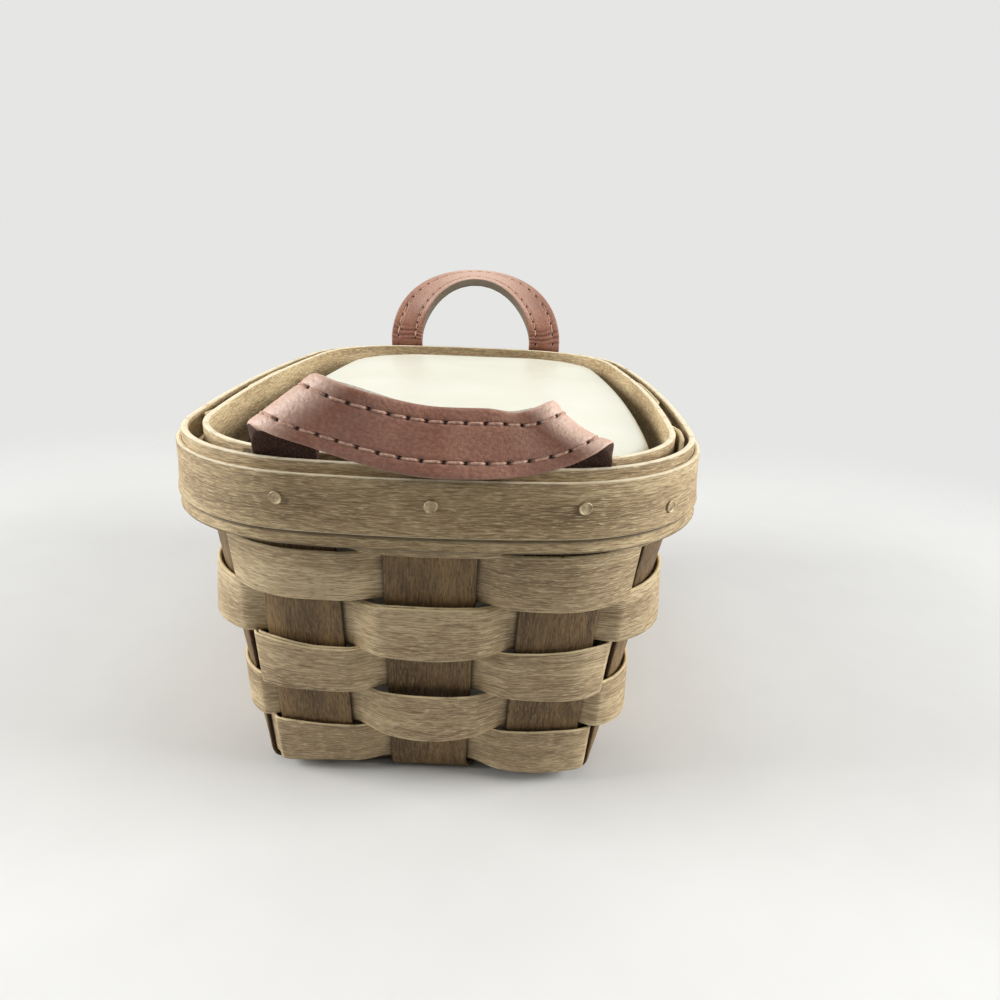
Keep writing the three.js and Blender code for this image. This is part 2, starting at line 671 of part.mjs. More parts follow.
// An ear's loop is swept through the sections of two halves, both written as a left half; the right one is
// mirrored. Places are in x, outward from the pivot and up from the pivot. across points from the strap's
// inner edge to its outer edge and grain points out of its grain side, which faces inward at the legs.
const radians = THREE.MathUtils.degToRad;
const vector = (x, out, up) => new THREE.Vector3(x, out, up);
const sum = (...terms) => terms.reduce((all, [v, k]) => all.addScaledVector(v, k), new THREE.Vector3());

// The rear ear stands up: an arch whose strap twists from flat against the rim to nearly level at the top
function rearEarSections() {
  return Array.from({ length: REAR_EAR_STEPS + 1 }, (_, step) => {
    const angle = ((Math.PI / 2) * step) / REAR_EAR_STEPS;
    const rise = Math.sin(angle);
    const twist = radians(REAR_EAR_TWIST) * rise;
    const outline = vector(-REAR_EAR_HEIGHT * Math.cos(angle), 0, EAR_HALF_SPAN * rise).normalize();
    return {
      middle: vector(-EAR_HALF_SPAN * Math.cos(angle), REAR_EAR_LEAN * rise, REAR_EAR_HEIGHT * rise),
      across: sum([outline, Math.cos(twist)], [vector(0, 1, 0), Math.sin(twist)]),
      grain: sum([outline, Math.sin(twist)], [vector(0, 1, 0), -Math.cos(twist)]),
    };
  });
}

// The front ear has flopped outward: each leg folds over a slanting line, so the strap wraps half round it,
// and the run between the folds sags with its grain side facing out.
function frontEarSections(hand) {
  const slope = radians(FRONT_EAR_FOLD_SLOPES[hand]);
  const foldLine = vector(Math.cos(slope), 0, Math.sin(slope));
  const square = vector(-Math.sin(slope), 0, Math.cos(slope));
  const outward = vector(0, 1, 0);
  const pitch = Math.tan(slope);
  const radius = FRONT_EAR_FOLD_RADIUS;
  const legTop = vector(-EAR_HALF_SPAN, 0, FRONT_EAR_LEGS[hand]);
  const wrapped = (angle) => {
    const turned = sum([square, Math.cos(angle)], [outward, Math.sin(angle)]);
    const circle = sum([square, radius * Math.sin(angle)], [outward, radius * (1 - Math.cos(angle))]);
    return {
      middle: sum([legTop, 1], [circle, 1], [foldLine, radius * angle * pitch]),
      across: sum([turned, Math.sin(slope)], [foldLine, -Math.cos(slope)]),
      grain: sum([square, Math.sin(angle)], [outward, -Math.cos(angle)]),
    };
  };
  const leg = { middle: vector(-EAR_HALF_SPAN, 0, 0), across: vector(-1, 0, 0), grain: vector(0, -1, 0) };
  const fold = Array.from({ length: FOLD_STEPS + 1 }, (_, step) => wrapped((Math.PI * step) / FOLD_STEPS));
  const foldEnd = fold.at(-1);
  const lowX = hand === "left" ? FRONT_EAR_LOW_X : -FRONT_EAR_LOW_X;
  const rest = vector(lowX, RIM_LENGTH / 2 + FRONT_EAR_OVERHANG - pivotReach(), FRONT_EAR_SAG);
  const span = lowX - foldEnd.middle.x;
  const run = Array.from({ length: FRONT_RUN_STEPS }, (_, step) => {
    const share = (step + 1) / FRONT_RUN_STEPS;
    const ease = share * (2 - share);
    const middle = foldEnd.middle.clone().lerp(rest, ease).setX(mix(foldEnd.middle.x, lowX, share));
    const slack = (2 * (1 - share)) / span;
    const along = sum([rest, slack], [foldEnd.middle, -slack]).setX(1).normalize();
    const tilt = radians(FRONT_EAR_LEAN) * smooth(share);
    const facing = vector(0, Math.cos(tilt), Math.sin(tilt));
    const across = new THREE.Vector3().crossVectors(facing, along).normalize();
    return { middle, across, grain: new THREE.Vector3().crossVectors(along, across) };
  });
  return [leg, ...fold, ...run];
}

// Each leg ends in a half round about the pivot; share is the part of the thickness left at a section.
function legEnd(section) {
  return LEG_END_ANGLES.map((angle) => ({
    ...section,
    middle: sum([section.middle, 1], [vector(0, 0, 1), (-Math.sin(radians(angle)) * STRAP_THICKNESS) / 2]),
    share: Math.cos(radians(angle)),
  }));
}

function earGeometry(halves, outward) {
  const reach = pivotReach();
  const flip = (v) => v.clone().multiply(vector(-1, 1, 1));
  const mirrored = ({ middle, across, grain, share }) => ({
    middle: flip(middle),
    across: flip(across),
    grain: flip(grain),
    share,
  });
  const withEnd = (half) => [...legEnd(half[0]), ...half];
  const right = withEnd(halves.right).slice(0, -1).toReversed();
  const sections = [...withEnd(halves.left), ...right.map(mirrored)];
  const face = (side) =>
    sections.map(({ middle, across, grain, share = 1 }) =>
      [-0.5, 0.5].map((edge) => {
        const depth = (side * share * STRAP_THICKNESS) / 2;
        const p = sum([middle, 1], [across, edge * STRAP_WIDTH], [grain, depth]);
        return new THREE.Vector3(p.x, outward * (reach + p.y), PIVOT_HEIGHT + p.z);
      }),
    );
  return strip(face(1), face(-1));
}

const earHalves = {
  front: { left: frontEarSections("left"), right: frontEarSections("right") },
  rear: { left: rearEarSections(), right: rearEarSections() },
};
for (const { name, side, outward } of ears) {
  addPiece(`${name}_ear_strap`, earGeometry(earHalves[name], outward), "leather");
  for (const [hand, sign] of [["left", -1], ["right", 1]]) {
    addPiece(`${name}_ear_${hand}_end`, earEndGeometry(side, sign * EAR_HALF_SPAN), "leather");
  }
}

// Liner tub: drafted walls on a filleted floor, with a flange under the lid
const lidEdge = RIM_HEIGHT - LID_EDGE_DROP;
const flangeTop = lidEdge - LID_WALL - SEAT_GAP;
const linerFoot = BASE_TOP + SEAT_GAP;
const skirtInside = LINER_FLANGE + SEAT_GAP;
const skirtOutside = skirtInside + LID_WALL;
const linerTopInset = RIM_INSIDE + skirtOutside;

function linerOval(height) {
  const share = (height - linerFoot) / (flangeTop - linerFoot);
  const topHalfWidth = RIM_WIDTH / 2 - linerTopInset - LID_SIDE_GAP;
  const topHalfLength = RIM_LENGTH / 2 - linerTopInset - LID_END_GAP;
  return new Oval({
    halfWidth: mix(BASE_WIDTH / 2 - LINER_FOOT_SIDE_GAP, topHalfWidth, share),
    halfLength: mix(BASE_LENGTH / 2 - LINER_FOOT_END_GAP, topHalfLength, share),
    endRadius: LINER_END_BOW_RADIUS,
    sideRadius: LINER_SIDE_BOW_RADIUS,
    cornerRadius: mix(LINER_BASE_RADIUS, RIM_CORNER_RADIUS - LINER_CORNER_STEP, share),
  });
}

// A ring round an oval, moved out by an offset, at a height that may vary over the plan
function ring(oval, offset, height) {
  const arcs = [
    [0, oval.endLength, PLAN_STEPS.end],
    [oval.endLength, oval.endLength + oval.cornerLength, PLAN_STEPS.corner],
    [oval.endLength + oval.cornerLength, oval.quarter, PLAN_STEPS.side],
  ];
  const quarter = arcs.flatMap(([from, to, steps]) =>
    Array.from({ length: steps }, (_, i) => mix(from, to, i / steps)),
  );
  const half = [...quarter, oval.quarter, ...quarter.slice(1).toReversed().map((s) => 2 * oval.quarter - s)];
  const whole = [...half, ...half.map((s) => s + 2 * oval.quarter)];
  return whole.map((s) => {
    const { point } = oval.at(s, offset);
    return new THREE.Vector3(point.x, point.y, height);
  });
}

const flangeFoot = flangeTop - LINER_FLANGE_HEIGHT;
const floorTop = linerFoot + LINER_WALL;
const tub = ringShell([
  ring(linerOval(linerFoot), -LINER_FOOT_FILLET, linerFoot),
  ring(linerOval(linerFoot), -LINER_FOOT_FILLET * ROUND_MIDDLE, linerFoot + LINER_FOOT_FILLET * ROUND_MIDDLE),
  ring(linerOval(linerFoot + LINER_FOOT_FILLET), 0, linerFoot + LINER_FOOT_FILLET),
  ring(linerOval(flangeFoot), 0, flangeFoot),
  ring(linerOval(flangeTop), LINER_FLANGE, flangeFoot),
  ring(linerOval(flangeTop), LINER_FLANGE, flangeTop),
  ring(linerOval(flangeTop), -LINER_WALL, flangeTop),
  ring(linerOval(floorTop + LINER_FOOT_FILLET), -LINER_WALL, floorTop + LINER_FOOT_FILLET),
  ring(linerOval(floorTop), -LINER_WALL - LINER_FOOT_FILLET, floorTop),
]);
addPiece("liner_tub", tub, "liner");

// Lid: a rounded edge over a skirt that hangs round the flange, and a gentle crown
const lidPlan = linerOval(flangeTop);
const skirtFoot = lidEdge - LID_SKIRT;
const crownRing = (share, drop) => {
  const crown = LID_CROWN * (1 - (1 - share) ** 2);
  const edge = ring(lidPlan, skirtOutside - LID_EDGE_ROUND, lidEdge - drop);
  return edge.map((p) => new THREE.Vector3(p.x * (1 - share), p.y * (1 - share), p.z + crown));
};
const lid = ringShell([
  ...CROWN_SHARES.toReversed().map((share) => crownRing(share, LID_WALL)),
  ring(lidPlan, skirtInside, lidEdge - LID_WALL),
  ring(lidPlan, skirtInside, skirtFoot),
  ring(lidPlan, skirtOutside, skirtFoot),
  ring(lidPlan, skirtOutside, lidEdge - LID_EDGE_ROUND),
  ring(lidPlan, skirtOutside - LID_EDGE_ROUND * ROUND_MIDDLE, lidEdge - LID_EDGE_ROUND * ROUND_MIDDLE),
  crownRing(0, 0),
  ...CROWN_SHARES.map((share) => crownRing(share, 0)),
]);
addPiece("lid", lid, "lid");

export default basket;
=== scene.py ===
"""Lidded tea basket: woven splints, scarfed rim bands, stitched leather ears, a tub and its domed lid."""
import math
from functools import lru_cache

import bpy
import numpy as np
from mathutils import Matrix, Vector


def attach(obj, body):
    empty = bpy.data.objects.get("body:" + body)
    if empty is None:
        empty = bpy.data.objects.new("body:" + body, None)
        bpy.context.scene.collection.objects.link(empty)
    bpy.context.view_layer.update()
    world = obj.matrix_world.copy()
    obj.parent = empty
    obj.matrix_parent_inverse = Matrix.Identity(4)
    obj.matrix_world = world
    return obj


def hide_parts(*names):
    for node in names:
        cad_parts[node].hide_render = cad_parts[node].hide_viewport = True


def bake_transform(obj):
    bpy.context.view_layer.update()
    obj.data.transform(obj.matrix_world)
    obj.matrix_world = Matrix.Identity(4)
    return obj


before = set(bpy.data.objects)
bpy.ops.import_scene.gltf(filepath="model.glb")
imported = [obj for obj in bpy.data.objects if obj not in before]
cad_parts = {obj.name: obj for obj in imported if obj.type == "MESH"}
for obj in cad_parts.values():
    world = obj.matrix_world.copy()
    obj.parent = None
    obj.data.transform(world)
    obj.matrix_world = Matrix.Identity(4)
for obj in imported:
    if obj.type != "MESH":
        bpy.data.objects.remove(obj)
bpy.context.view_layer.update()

# Sizes in millimetres, near those of the part's source
RIM_LENGTH = 177.8
RIM_WIDTH = 123.8
RIM_HEIGHT = 89.0
RIM_END_RADIUS = 235.0
RIM_SIDE_RADIUS = 480.0
RIM_CORNER_RADIUS = 38.6
BAND_SHIFT = -0.4
BAND_SHIFT_RUN = 6.0
BAND_FLARE = 1.9
WALL_TOP_SHIFT = 0.2
BASE_LENGTH = 124.0
BASE_WIDTH = 83.2
BASE_SHIFT = -2.1
BASE_CORNER_RADIUS = 4.0
BASE_BOW_RADIUS = 3000.0
SPLINT_THICKNESS = 0.9
UPRIGHT_WIDTH = 19.0
OUTER_LONG_WIDTH = 17.4
LONG_PLACES = [-27.4, 0.0, 27.4]
CROSS_PLACES = [-50.8, -25.4, 0.0, 25.4, 50.8]
UPRIGHT_TOP = 88.1
WEAVER_ROWS = 6
WEAVER_FIRST_HEIGHT = 3.2
WEAVER_PITCH = 13.2
WEAVER_WIDTH = 13.2
TURN_IN = 2.6
TURN_LEAN = 0.3
WEAVER_CROSSOVER = 9.0
TOP_ROW_THICKNESS = 1.2
BAND_FOOT = 71.6
OUTER_BAND_FOOT = 75.0
OUTER_BAND_HEIGHT = 11.3
OUTER_BAND_THICKNESS = 1.2
MIDDLE_BAND_HEIGHT = 16.9
MIDDLE_BAND_INSET = 1.25
INNER_BAND_HEIGHT = 17.4
INNER_BAND_INSET = 5.55
BAND_THICKNESS = 1.4
BAND_WAVER = 0.05
SCARF_LENGTH = 30.0
SCARF_RUN_OUT = 3.0
SCARF_TIP = 0.3
LAYER_GAP = 0.1
LAYER_STEP = SPLINT_THICKNESS + LAYER_GAP
TOP_ROW_STEP = 1.06
LOW_TOP = 83.6
WALL_INSET = 5.15
STRAP_END_INSET = 3.95
TACK_HEIGHT = 81.4
EAR_HALF_SPAN = 27.8
STRAP_HALF_WIDTH = 6.25
STRAP_THICKNESS = 2.6
STRAP_END_THICKNESS = 1.1
PIVOT_HEIGHT = 91.0
SOFT_EDGE = 0.2
MM = 0.001

# Shares, and places counted in uprights
SIDE_FAN = 0.69
EDGE = 0.35
CORNER_CROSSOVER = (0.0, 0.65)
LAP_START_INDICES = [12, 5, 14, 15, 8, 10]
END_JOINT_SHARE = 0.03
TOP_ROW_ENDS = (13.55, 18.2)
CORNER_RISE_REACH = 1.15
CORNER_RISE_EASE = 0.5

# Steps in which the pieces are divided
UPRIGHT_STEPS = 7
GAP_STEPS = 12
CORNER_STEPS = 34
WALL_STEPS = 44
BEND_STEPS = 8
BAND_STEPS = 360
PATH_STEPS = 121
PLAN_STEPS = (12, 18, 18)


def mix(a, b, t):
    return a + (b - a) * t


def clamp01(t):
    return min(max(t, 0.0), 1.0)


def smooth(t):
    """An eased step from 0 to 1, for a number or for rows of numbers."""
    t = np.clip(t, 0.0, 1.0) if isinstance(t, np.ndarray) else clamp01(t)
    return t * t * (3 - 2 * t)


def waver(place, seed, length):
    """A slow, repeatable unevenness between about -1 and 1; place and length are in millimetres."""
    turns = 2 * math.pi * place / length
    slow = math.sin(turns + 1.7 * seed)
    quick = math.sin(2.31 * turns + 4.1 * seed + 0.6)
    return 0.6 * slow + 0.4 * quick


class Oval:
    """A four-centred oval; lengths along it start at the middle of the -Y end and run towards +X."""

    def __init__(self, half_width, half_length, end_radius, side_radius, corner_radius, shift=0.0):
        self.half_length = half_length
        self.shift = shift
        self.end_radius = end_radius
        self.side_radius = side_radius
        self.corner_radius = corner_radius
        self.end_centre = (0.0, end_radius - half_length)
        self.side_centre = (half_width - side_radius, 0.0)
        self.corner_centre = self.find_corner_centre()
        x, y = self.corner_centre
        self.end_angle = math.atan2(y - self.end_centre[1], x)
        self.side_angle = math.atan2(y, x - self.side_centre[0])
        self.end_length = end_radius * (self.end_angle + math.pi / 2)
        self.corner_length = corner_radius * (self.side_angle - self.end_angle)
        self.quarter = self.end_length + self.corner_length - side_radius * self.side_angle
        self.whole = 4 * self.quarter
        # Each arc of a quarter: where it stops, its circle, and a length along it with its angle there
        self.arcs = [
            (self.end_length, self.end_centre, end_radius, 0.0, -math.pi / 2),
            (self.end_length + self.corner_length, (x, y), corner_radius, self.end_length, self.end_angle),
            (math.inf, self.side_centre, side_radius, self.quarter, 0.0),
        ]

    def find_corner_centre(self):
        """The corner circle touches both big circles from inside."""
        to_end = self.end_radius - self.corner_radius
        to_side = self.side_radius - self.corner_radius
        dx = self.side_centre[0] - self.end_centre[0]
        dy = self.side_centre[1] - self.end_centre[1]
        apart = math.hypot(dx, dy)
        dx, dy = dx / apart, dy / apart
        along = (to_end**2 - to_side**2 + apart**2) / (2 * apart)
        off = math.sqrt(to_end**2 - along**2)
        foot = (self.end_centre[0] + dx * along, self.end_centre[1] + dy * along)
        places = [(foot[0] - dy * k, foot[1] + dx * k) for k in (off, -off)]
        return max(places, key=lambda p: p[0] - p[1])

    def length_at_x(self, x):
        if x <= self.end_radius * math.cos(self.end_angle):
            return self.end_radius * (math.pi / 2 - math.acos(x / self.end_radius))
        angle = -math.acos((x - self.corner_centre[0]) / self.corner_radius)
        return self.end_length + self.corner_radius * (angle - self.end_angle)

    def length_at_y(self, y):
        if y >= self.side_radius * math.sin(self.side_angle):
            return self.quarter + self.side_radius * math.asin(y / self.side_radius)
        angle = math.asin((y - self.corner_centre[1]) / self.corner_radius)
        return self.end_length + self.corner_radius * (angle - self.end_angle)

    def length_at(self, side, place):
        if side in ("front", "back"):
            end = math.copysign(self.length_at_x(abs(place)), place)
            return end % self.whole if side == "front" else 2 * self.quarter - end
        flank = self.length_at_y(place) if place <= 0 else 2 * self.quarter - self.length_at_y(-place)
        return flank if side == "right" else self.whole - flank

    def at(self, length, offset=0.0):
        """x, y and the outward normal at a length, moved out by an offset."""
        s = length % self.whole
        s, flip_x = (s, 1) if s <= 2 * self.quarter else (self.whole - s, -1)
        s, flip_y = (s, 1) if s <= self.quarter else (2 * self.quarter - s, -1)
        _, centre, radius, known, angle = next(arc for arc in self.arcs if s < arc[0])
        angle += (s - known) / radius
        nx, ny = flip_x * math.cos(angle), flip_y * math.sin(angle)
        reach = radius + offset
        return flip_x * centre[0] + reach * nx + self.shift, flip_y * centre[1] + reach * ny, nx, ny


@lru_cache(maxsize=None)
def wall_oval(height):
    """The wall's middle surface: straight from the base to the foot of the bands, upright behind them."""
    share = clamp01(height / BAND_FOOT)
    at_bands = smooth((height - BAND_FOOT) / BAND_SHIFT_RUN)
    end_bow = 1 / mix(1 / BASE_BOW_RADIUS, 1 / (RIM_END_RADIUS - WALL_INSET), share)
    side_bow = 1 / mix(1 / BASE_BOW_RADIUS, 1 / (RIM_SIDE_RADIUS - WALL_INSET), share)
    return Oval(
        mix(BASE_WIDTH / 2, RIM_WIDTH / 2 - WALL_INSET, share),
        mix(BASE_LENGTH / 2, RIM_LENGTH / 2 - WALL_INSET, share),
        end_bow,
        side_bow,
        mix(BASE_CORNER_RADIUS, RIM_CORNER_RADIUS - WALL_INSET, share),
        mix(mix(BASE_SHIFT, WALL_TOP_SHIFT, share), BAND_SHIFT, at_bands),
    )


# Uprights in order round the wall, from the middle of the -Y end towards +X
UPRIGHTS = (
    [("front", x) for x in LONG_PLACES if x >= 0]
    + [("right", y) for y in CROSS_PLACES]
    + [("back", x) for x in reversed(LONG_PLACES)]
    + [("left", y) for y in reversed(CROSS_PLACES)]
    + [("front", x) for x in LONG_PLACES if x < 0]
)
COUNT = len(UPRIGHTS)


def is_end(index):
    return UPRIGHTS[index % COUNT][0] in ("front", "back")


def upright_width(index):
    return OUTER_LONG_WIDTH if is_end(index) and UPRIGHTS[index % COUNT][1] else UPRIGHT_WIDTH


def fanned(oval, side, place):
    """The uprights of the long sides spread towards the corners as the wall widens."""
    if side in ("front", "back"):
        return place
    return place * mix(1, 2 * oval.half_length / BASE_LENGTH, SIDE_FAN)


def edge_length(oval, index, across):
    side, place = UPRIGHTS[index % COUNT]
    place = fanned(oval, side, place)
    turn = -1 if side in ("back", "left") else 1
    length = oval.length_at(side, place + turn * across * upright_width(index) / 2)
    laps = index // COUNT
    if index % COUNT == 0 and length > oval.whole / 2:
        laps -= 1
    return length + oval.whole * laps


@lru_cache(maxsize=None)
def station_length(oval, station):
    """Stations count uprights: a whole number is an upright's middle, EDGE to either side its edges."""
    index = round(station)
    rest = station - index
    if abs(rest) <= EDGE:
        return edge_length(oval, index, rest / EDGE)
    before = math.floor(station)
    share = (station - before - EDGE) / (1 - 2 * EDGE)
    return mix(edge_length(oval, before, 1), edge_length(oval, before + 1, -1), share)


def fine_stations(first, last):
    stations = []
    for index in range(first, last):
        gap_steps = CORNER_STEPS if is_end(index) != is_end(index + 1) else GAP_STEPS
        stations += [index + EDGE * i / UPRIGHT_STEPS for i in range(UPRIGHT_STEPS)]
        stations += [index + EDGE + (1 - 2 * EDGE) * i / gap_steps for i in range(gap_steps)]
        stations += [index + 1 - EDGE + EDGE * i / UPRIGHT_STEPS for i in range(UPRIGHT_STEPS)]
    return stations + [last]


# Meshes of strips
def strip_profile(width, thickness, inner_columns):
    """A strip's section as (across, depth): its face with softened edges, then its back the other way."""
    half = thickness / 2
    columns = [SOFT_EDGE, 2.5 * SOFT_EDGE]
    columns += [width * (i + 1) / (inner_columns + 1) for i in range(inner_columns)]
    columns += [width - 2.5 * SOFT_EDGE, width - SOFT_EDGE]
    face = [(0.0, half - SOFT_EDGE)] + [(a, half) for a in columns] + [(width, half - SOFT_EDGE)]
    return face + [(a, -d) for a, d in reversed(face)]


def closed_mesh(name, vertices, faces, finish):
    """A mesh object of a closed body, in millimetres, turned so that its faces point out."""
    vertices = np.asarray(vertices, float)
    volume = 0.0
    for face in faces:
        a = vertices[face[0]]
        for b, c in zip(face[1:-1], face[2:]):
            volume += a @ np.cross(vertices[b], vertices[c])
    turned = [face[:: 1 if volume > 0 else -1] for face in faces]
    mesh = bpy.data.meshes.new(name)
    mesh.from_pydata((vertices * MM).tolist(), [], turned)
    mesh.shade_smooth()
    mesh.materials.append(finish)
    piece = bpy.data.objects.new(name, mesh)
    bpy.context.scene.collection.objects.link(piece)
    return piece


def note(piece, **kept):
    """Keeps numbers or vectors, in rows round the sections of a piece, for its finish to read."""
    for name, values in kept.items():
        values = np.asarray(values, np.float32)
        kind, field = ("FLOAT_VECTOR", "vector") if values.ndim == 3 else ("FLOAT", "value")
        attribute = piece.data.attributes.new(name, kind, "POINT")
        attribute.data.foreach_set(field, values.ravel())


def swept_faces(rows, around):
    """Quads of a strip through section loops, closed at both ends."""
    grid = np.arange(rows * around).reshape(rows, around)
    after = np.roll(grid, -1, axis=1)
    sides = np.stack([grid[:-1], grid[1:], after[1:], after[:-1]], axis=-1).reshape(-1, 4)
    half = around // 2
    faces = [sides]
    for loop, turn in ((grid[0], 1), (grid[-1], -1)):
        front, back = loop[:half], loop[half:][::-1]
        caps = np.stack([front[:-1], front[1:], back[1:], back[:-1]], axis=-1)
        faces.append(caps[:, ::turn])
    return np.concatenate(faces).tolist()


def splint_strip(name, loops, lengths, profile, seed, finish):
    """A wooden strip with its lay (along, across, seed) and its cut edges noted for the grain."""
    loops = np.asarray(loops, float)
    rows, around = loops.shape[:2]
    piece = closed_mesh(name, loops.reshape(-1, 3), swept_faces(rows, around), finish)
    width = max(a for a, _ in profile)
    lay = np.zeros((rows, around, 3))
    lay[..., 0] = np.asarray(lengths)[:, None] * MM
    lay[..., 1] = np.array([a for a, _ in profile])[None] * MM
    lay[..., 2] = seed
    cut = np.zeros((rows, around))
    cut[:] = [1.0 if a < SOFT_EDGE or a > width - SOFT_EDGE else 0.0 for a, _ in profile]
    cut[[0, -1]] = 0.5
    note(piece, lay=lay, cut_edge=cut)
    return piece


# Woven rows. BULGES holds, by row and upright, how far a row stands off at its foot and at its top edge.
BULGE_REACH = 34.0
BULGE_FALL = 1.25
FIRST_BULGE_FALL = 1.6
ROW_UNEVENNESS = 0.25
ROW_WAVER = 0.15
TUCK_SHADE = 1.1
USUAL_BULGE = (2.6, 0.9)
BULGES = {
    **{(row, 15): (0.7, 0.4) for row in (0, 2, 4)},
    **{(row, 1): (2.8, 0.6) for row in (0, 2, 4)},
    (1, 0): (4.8, 2.2),
    (3, 0): (3.0, 0.6),
    (1, 14): (1.2, -0.1),
    (3, 14): (3.3, 0.4),
    (1, 2): (3.6, 0.5),
    (3, 2): (3.8, 0.5),
}
# How far a row's foot and top edge rise at the corner by an upright
CORNER_RISES = {
    (0, 14): (-0.8, 0.9),
    (0, 2): (0.0, 0.7),
    (1, 14): (1.0, 1.0),
    (1, 2): (1.3, 1.9),
    (2, 14): (0.2, 1.5),
    (2, 2): (0.0, 1.2),
    (3, 14): (1.2, 1.4),
    (3, 2): (2.0, 2.0),
    (4, 15): (0.0, -0.8),
}
# The part of a corner's gap, counted from the upright that a row passes inside, in which it crosses over
CORNER_CROSSOVERS = {
    (4, 14): (0.0, 0.28),
    (4, 1): (0.0, 0.32),
    (2, 14): (0.2, 0.85),
    (0, 14): (0.4, 0.95),
}
ROW_RISES = [0.0, 0.0, 0.0, 0.0, 0.7, 0.0]


def outside_share(station, row, oval):
    """1 where a row lies outside the uprights, 0 inside them; it crosses over close to the inside one."""
    parity = (row + 1) % 2
    index = round(station)
    if abs(station - index) <= EDGE:
        return 1.0 if (index + parity) % 2 == 0 else 0.0
    before = math.floor(station)
    gap = edge_length(oval, before + 1, -1) - edge_length(oval, before, 1)
    is_corner = is_end(before) != is_end(before + 1)
    begin, end = (0.0, min(1.0, WEAVER_CROSSOVER / gap))
    if is_corner:
        begin, end = CORNER_CROSSOVERS.get((row, before % COUNT), CORNER_CROSSOVER)
    from_inside = (station - before - EDGE) / (1 - 2 * EDGE)
    if (before + parity) % 2 == 0:
        from_inside = 1 - from_inside
    return smooth((from_inside - begin) / (end - begin))


def bulge_share(station, parity, oval):
    """How much of its bulge a row has: full at the upright that it passes, none at the next ones."""
    index = round(station)
    if (index + parity) % 2:
        index += 1 if station > index else -1
    length = station_length(oval, station) - station_length(oval, index)
    hand = 1 if length > 0 else -1
    reach = abs(edge_length(oval, index + hand, -hand) - station_length(oval, index))
    share = min(abs(length) / min(reach, BULGE_REACH), 1.0)
    return index, (1 - share**2) ** (BULGE_FALL if index % COUNT else FIRST_BULGE_FALL)


def painted_tuck_shade(station, parity, oval):
    """1 where a row lies behind an upright, fading out just past the upright's edge; it marks where painted
    shade darkens the row.
    """
    index = round(station)
    if (index + parity) % 2 == 0:
        return 0.0
    hand = 1 if station > index else -1
    past = hand * (station_length(oval, station) - edge_length(oval, index, hand))
    return smooth(1 - past / TUCK_SHADE)


def corner_rise(station, row):
    """Rows ride up a little where they turn a front corner: the rise of the foot and of the top edge."""
    rises = np.zeros(2)
    for (its_row, index), rise in CORNER_RISES.items():
        if its_row == row:
            apart = abs((station - index + COUNT / 2) % COUNT - COUNT / 2)
            rises += smooth((CORNER_RISE_REACH - apart) / CORNER_RISE_EASE) * np.array(rise)
    return rises


def woven_row(row, finish):
    is_top = row == WEAVER_ROWS - 1
    lap = 0 if is_top else 2
    parity = (row + 1) % 2
    start = LAP_START_INDICES[row]
    foot = WEAVER_FIRST_HEIGHT + row * WEAVER_PITCH + ROW_RISES[row]
    width = UPRIGHT_TOP - foot if is_top else WEAVER_WIDTH
    thickness = TOP_ROW_THICKNESS if is_top else SPLINT_THICKNESS
    step = TOP_ROW_STEP if is_top else LAYER_STEP
    middle_oval = wall_oval(round(foot + WEAVER_WIDTH / 2, 2))
    stations = fine_stations(start, start + COUNT + lap)
    if is_top:
        stations[-1] -= END_JOINT_SHARE

    def layer_at(station):
        outside = outside_share(station, row, middle_oval)
        middle = mix(-step, step, outside)
        if is_top:
            return middle
        past = station - start
        if past <= lap + EDGE:
            ease = smooth((lap + EDGE - past) / EDGE)
            return middle - step * (1 - outside) * ease
        return middle + step * outside if past >= COUNT else middle

    profile = strip_profile(width, thickness, 6)
    loops = []
    lengths = []
    tuck_shades = []
    for station in stations:
        layer = layer_at(station)
        index, bulge = bulge_share(station, parity, middle_oval)
        low, high = BULGES.get((row, index % COUNT), USUAL_BULGE)
        uneven = 1 + ROW_UNEVENNESS * math.sin(5.1 * row + 2.3 * (index % COUNT))
        if is_top:
            low, high = 0.0, 0.0
        elif (row, index % COUNT) not in BULGES:
            low *= uneven
        length = station_length(middle_oval, station)
        rise = ROW_WAVER * waver(length % middle_oval.whole, row + 1, middle_oval.whole / 9)
        foot_rise, top_rise = corner_rise(station, row)
        is_low = is_top and TOP_ROW_ENDS[0] < station < TOP_ROW_ENDS[1]
        share = (LOW_TOP - foot) / width if is_low else 1.0
        loop = []
        for across, depth in profile:
            height = round(foot + across * share + rise + mix(foot_rise, top_rise, across / width), 2)
            lean = mix(low, high, clamp01(across / width))
            oval = wall_oval(height)
            x, y, _, _ = oval.at(station_length(oval, station), layer + bulge * lean + depth)
            loop.append((x, y, height))
        loops.append(loop)
        lengths.append(length)
        tuck_shades.append(painted_tuck_shade(station, parity, middle_oval))
    piece = splint_strip(f"woven_row_{row + 1}", loops, lengths, profile, 3.7 * row + 1, finish)
    # The tucked attribute carries painted shade where the row passes behind an upright.
    note(piece, tucked=np.repeat(tuck_shades, len(profile)))
    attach(piece, "basket")
    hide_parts(f"weaver_row_{row + 1}")


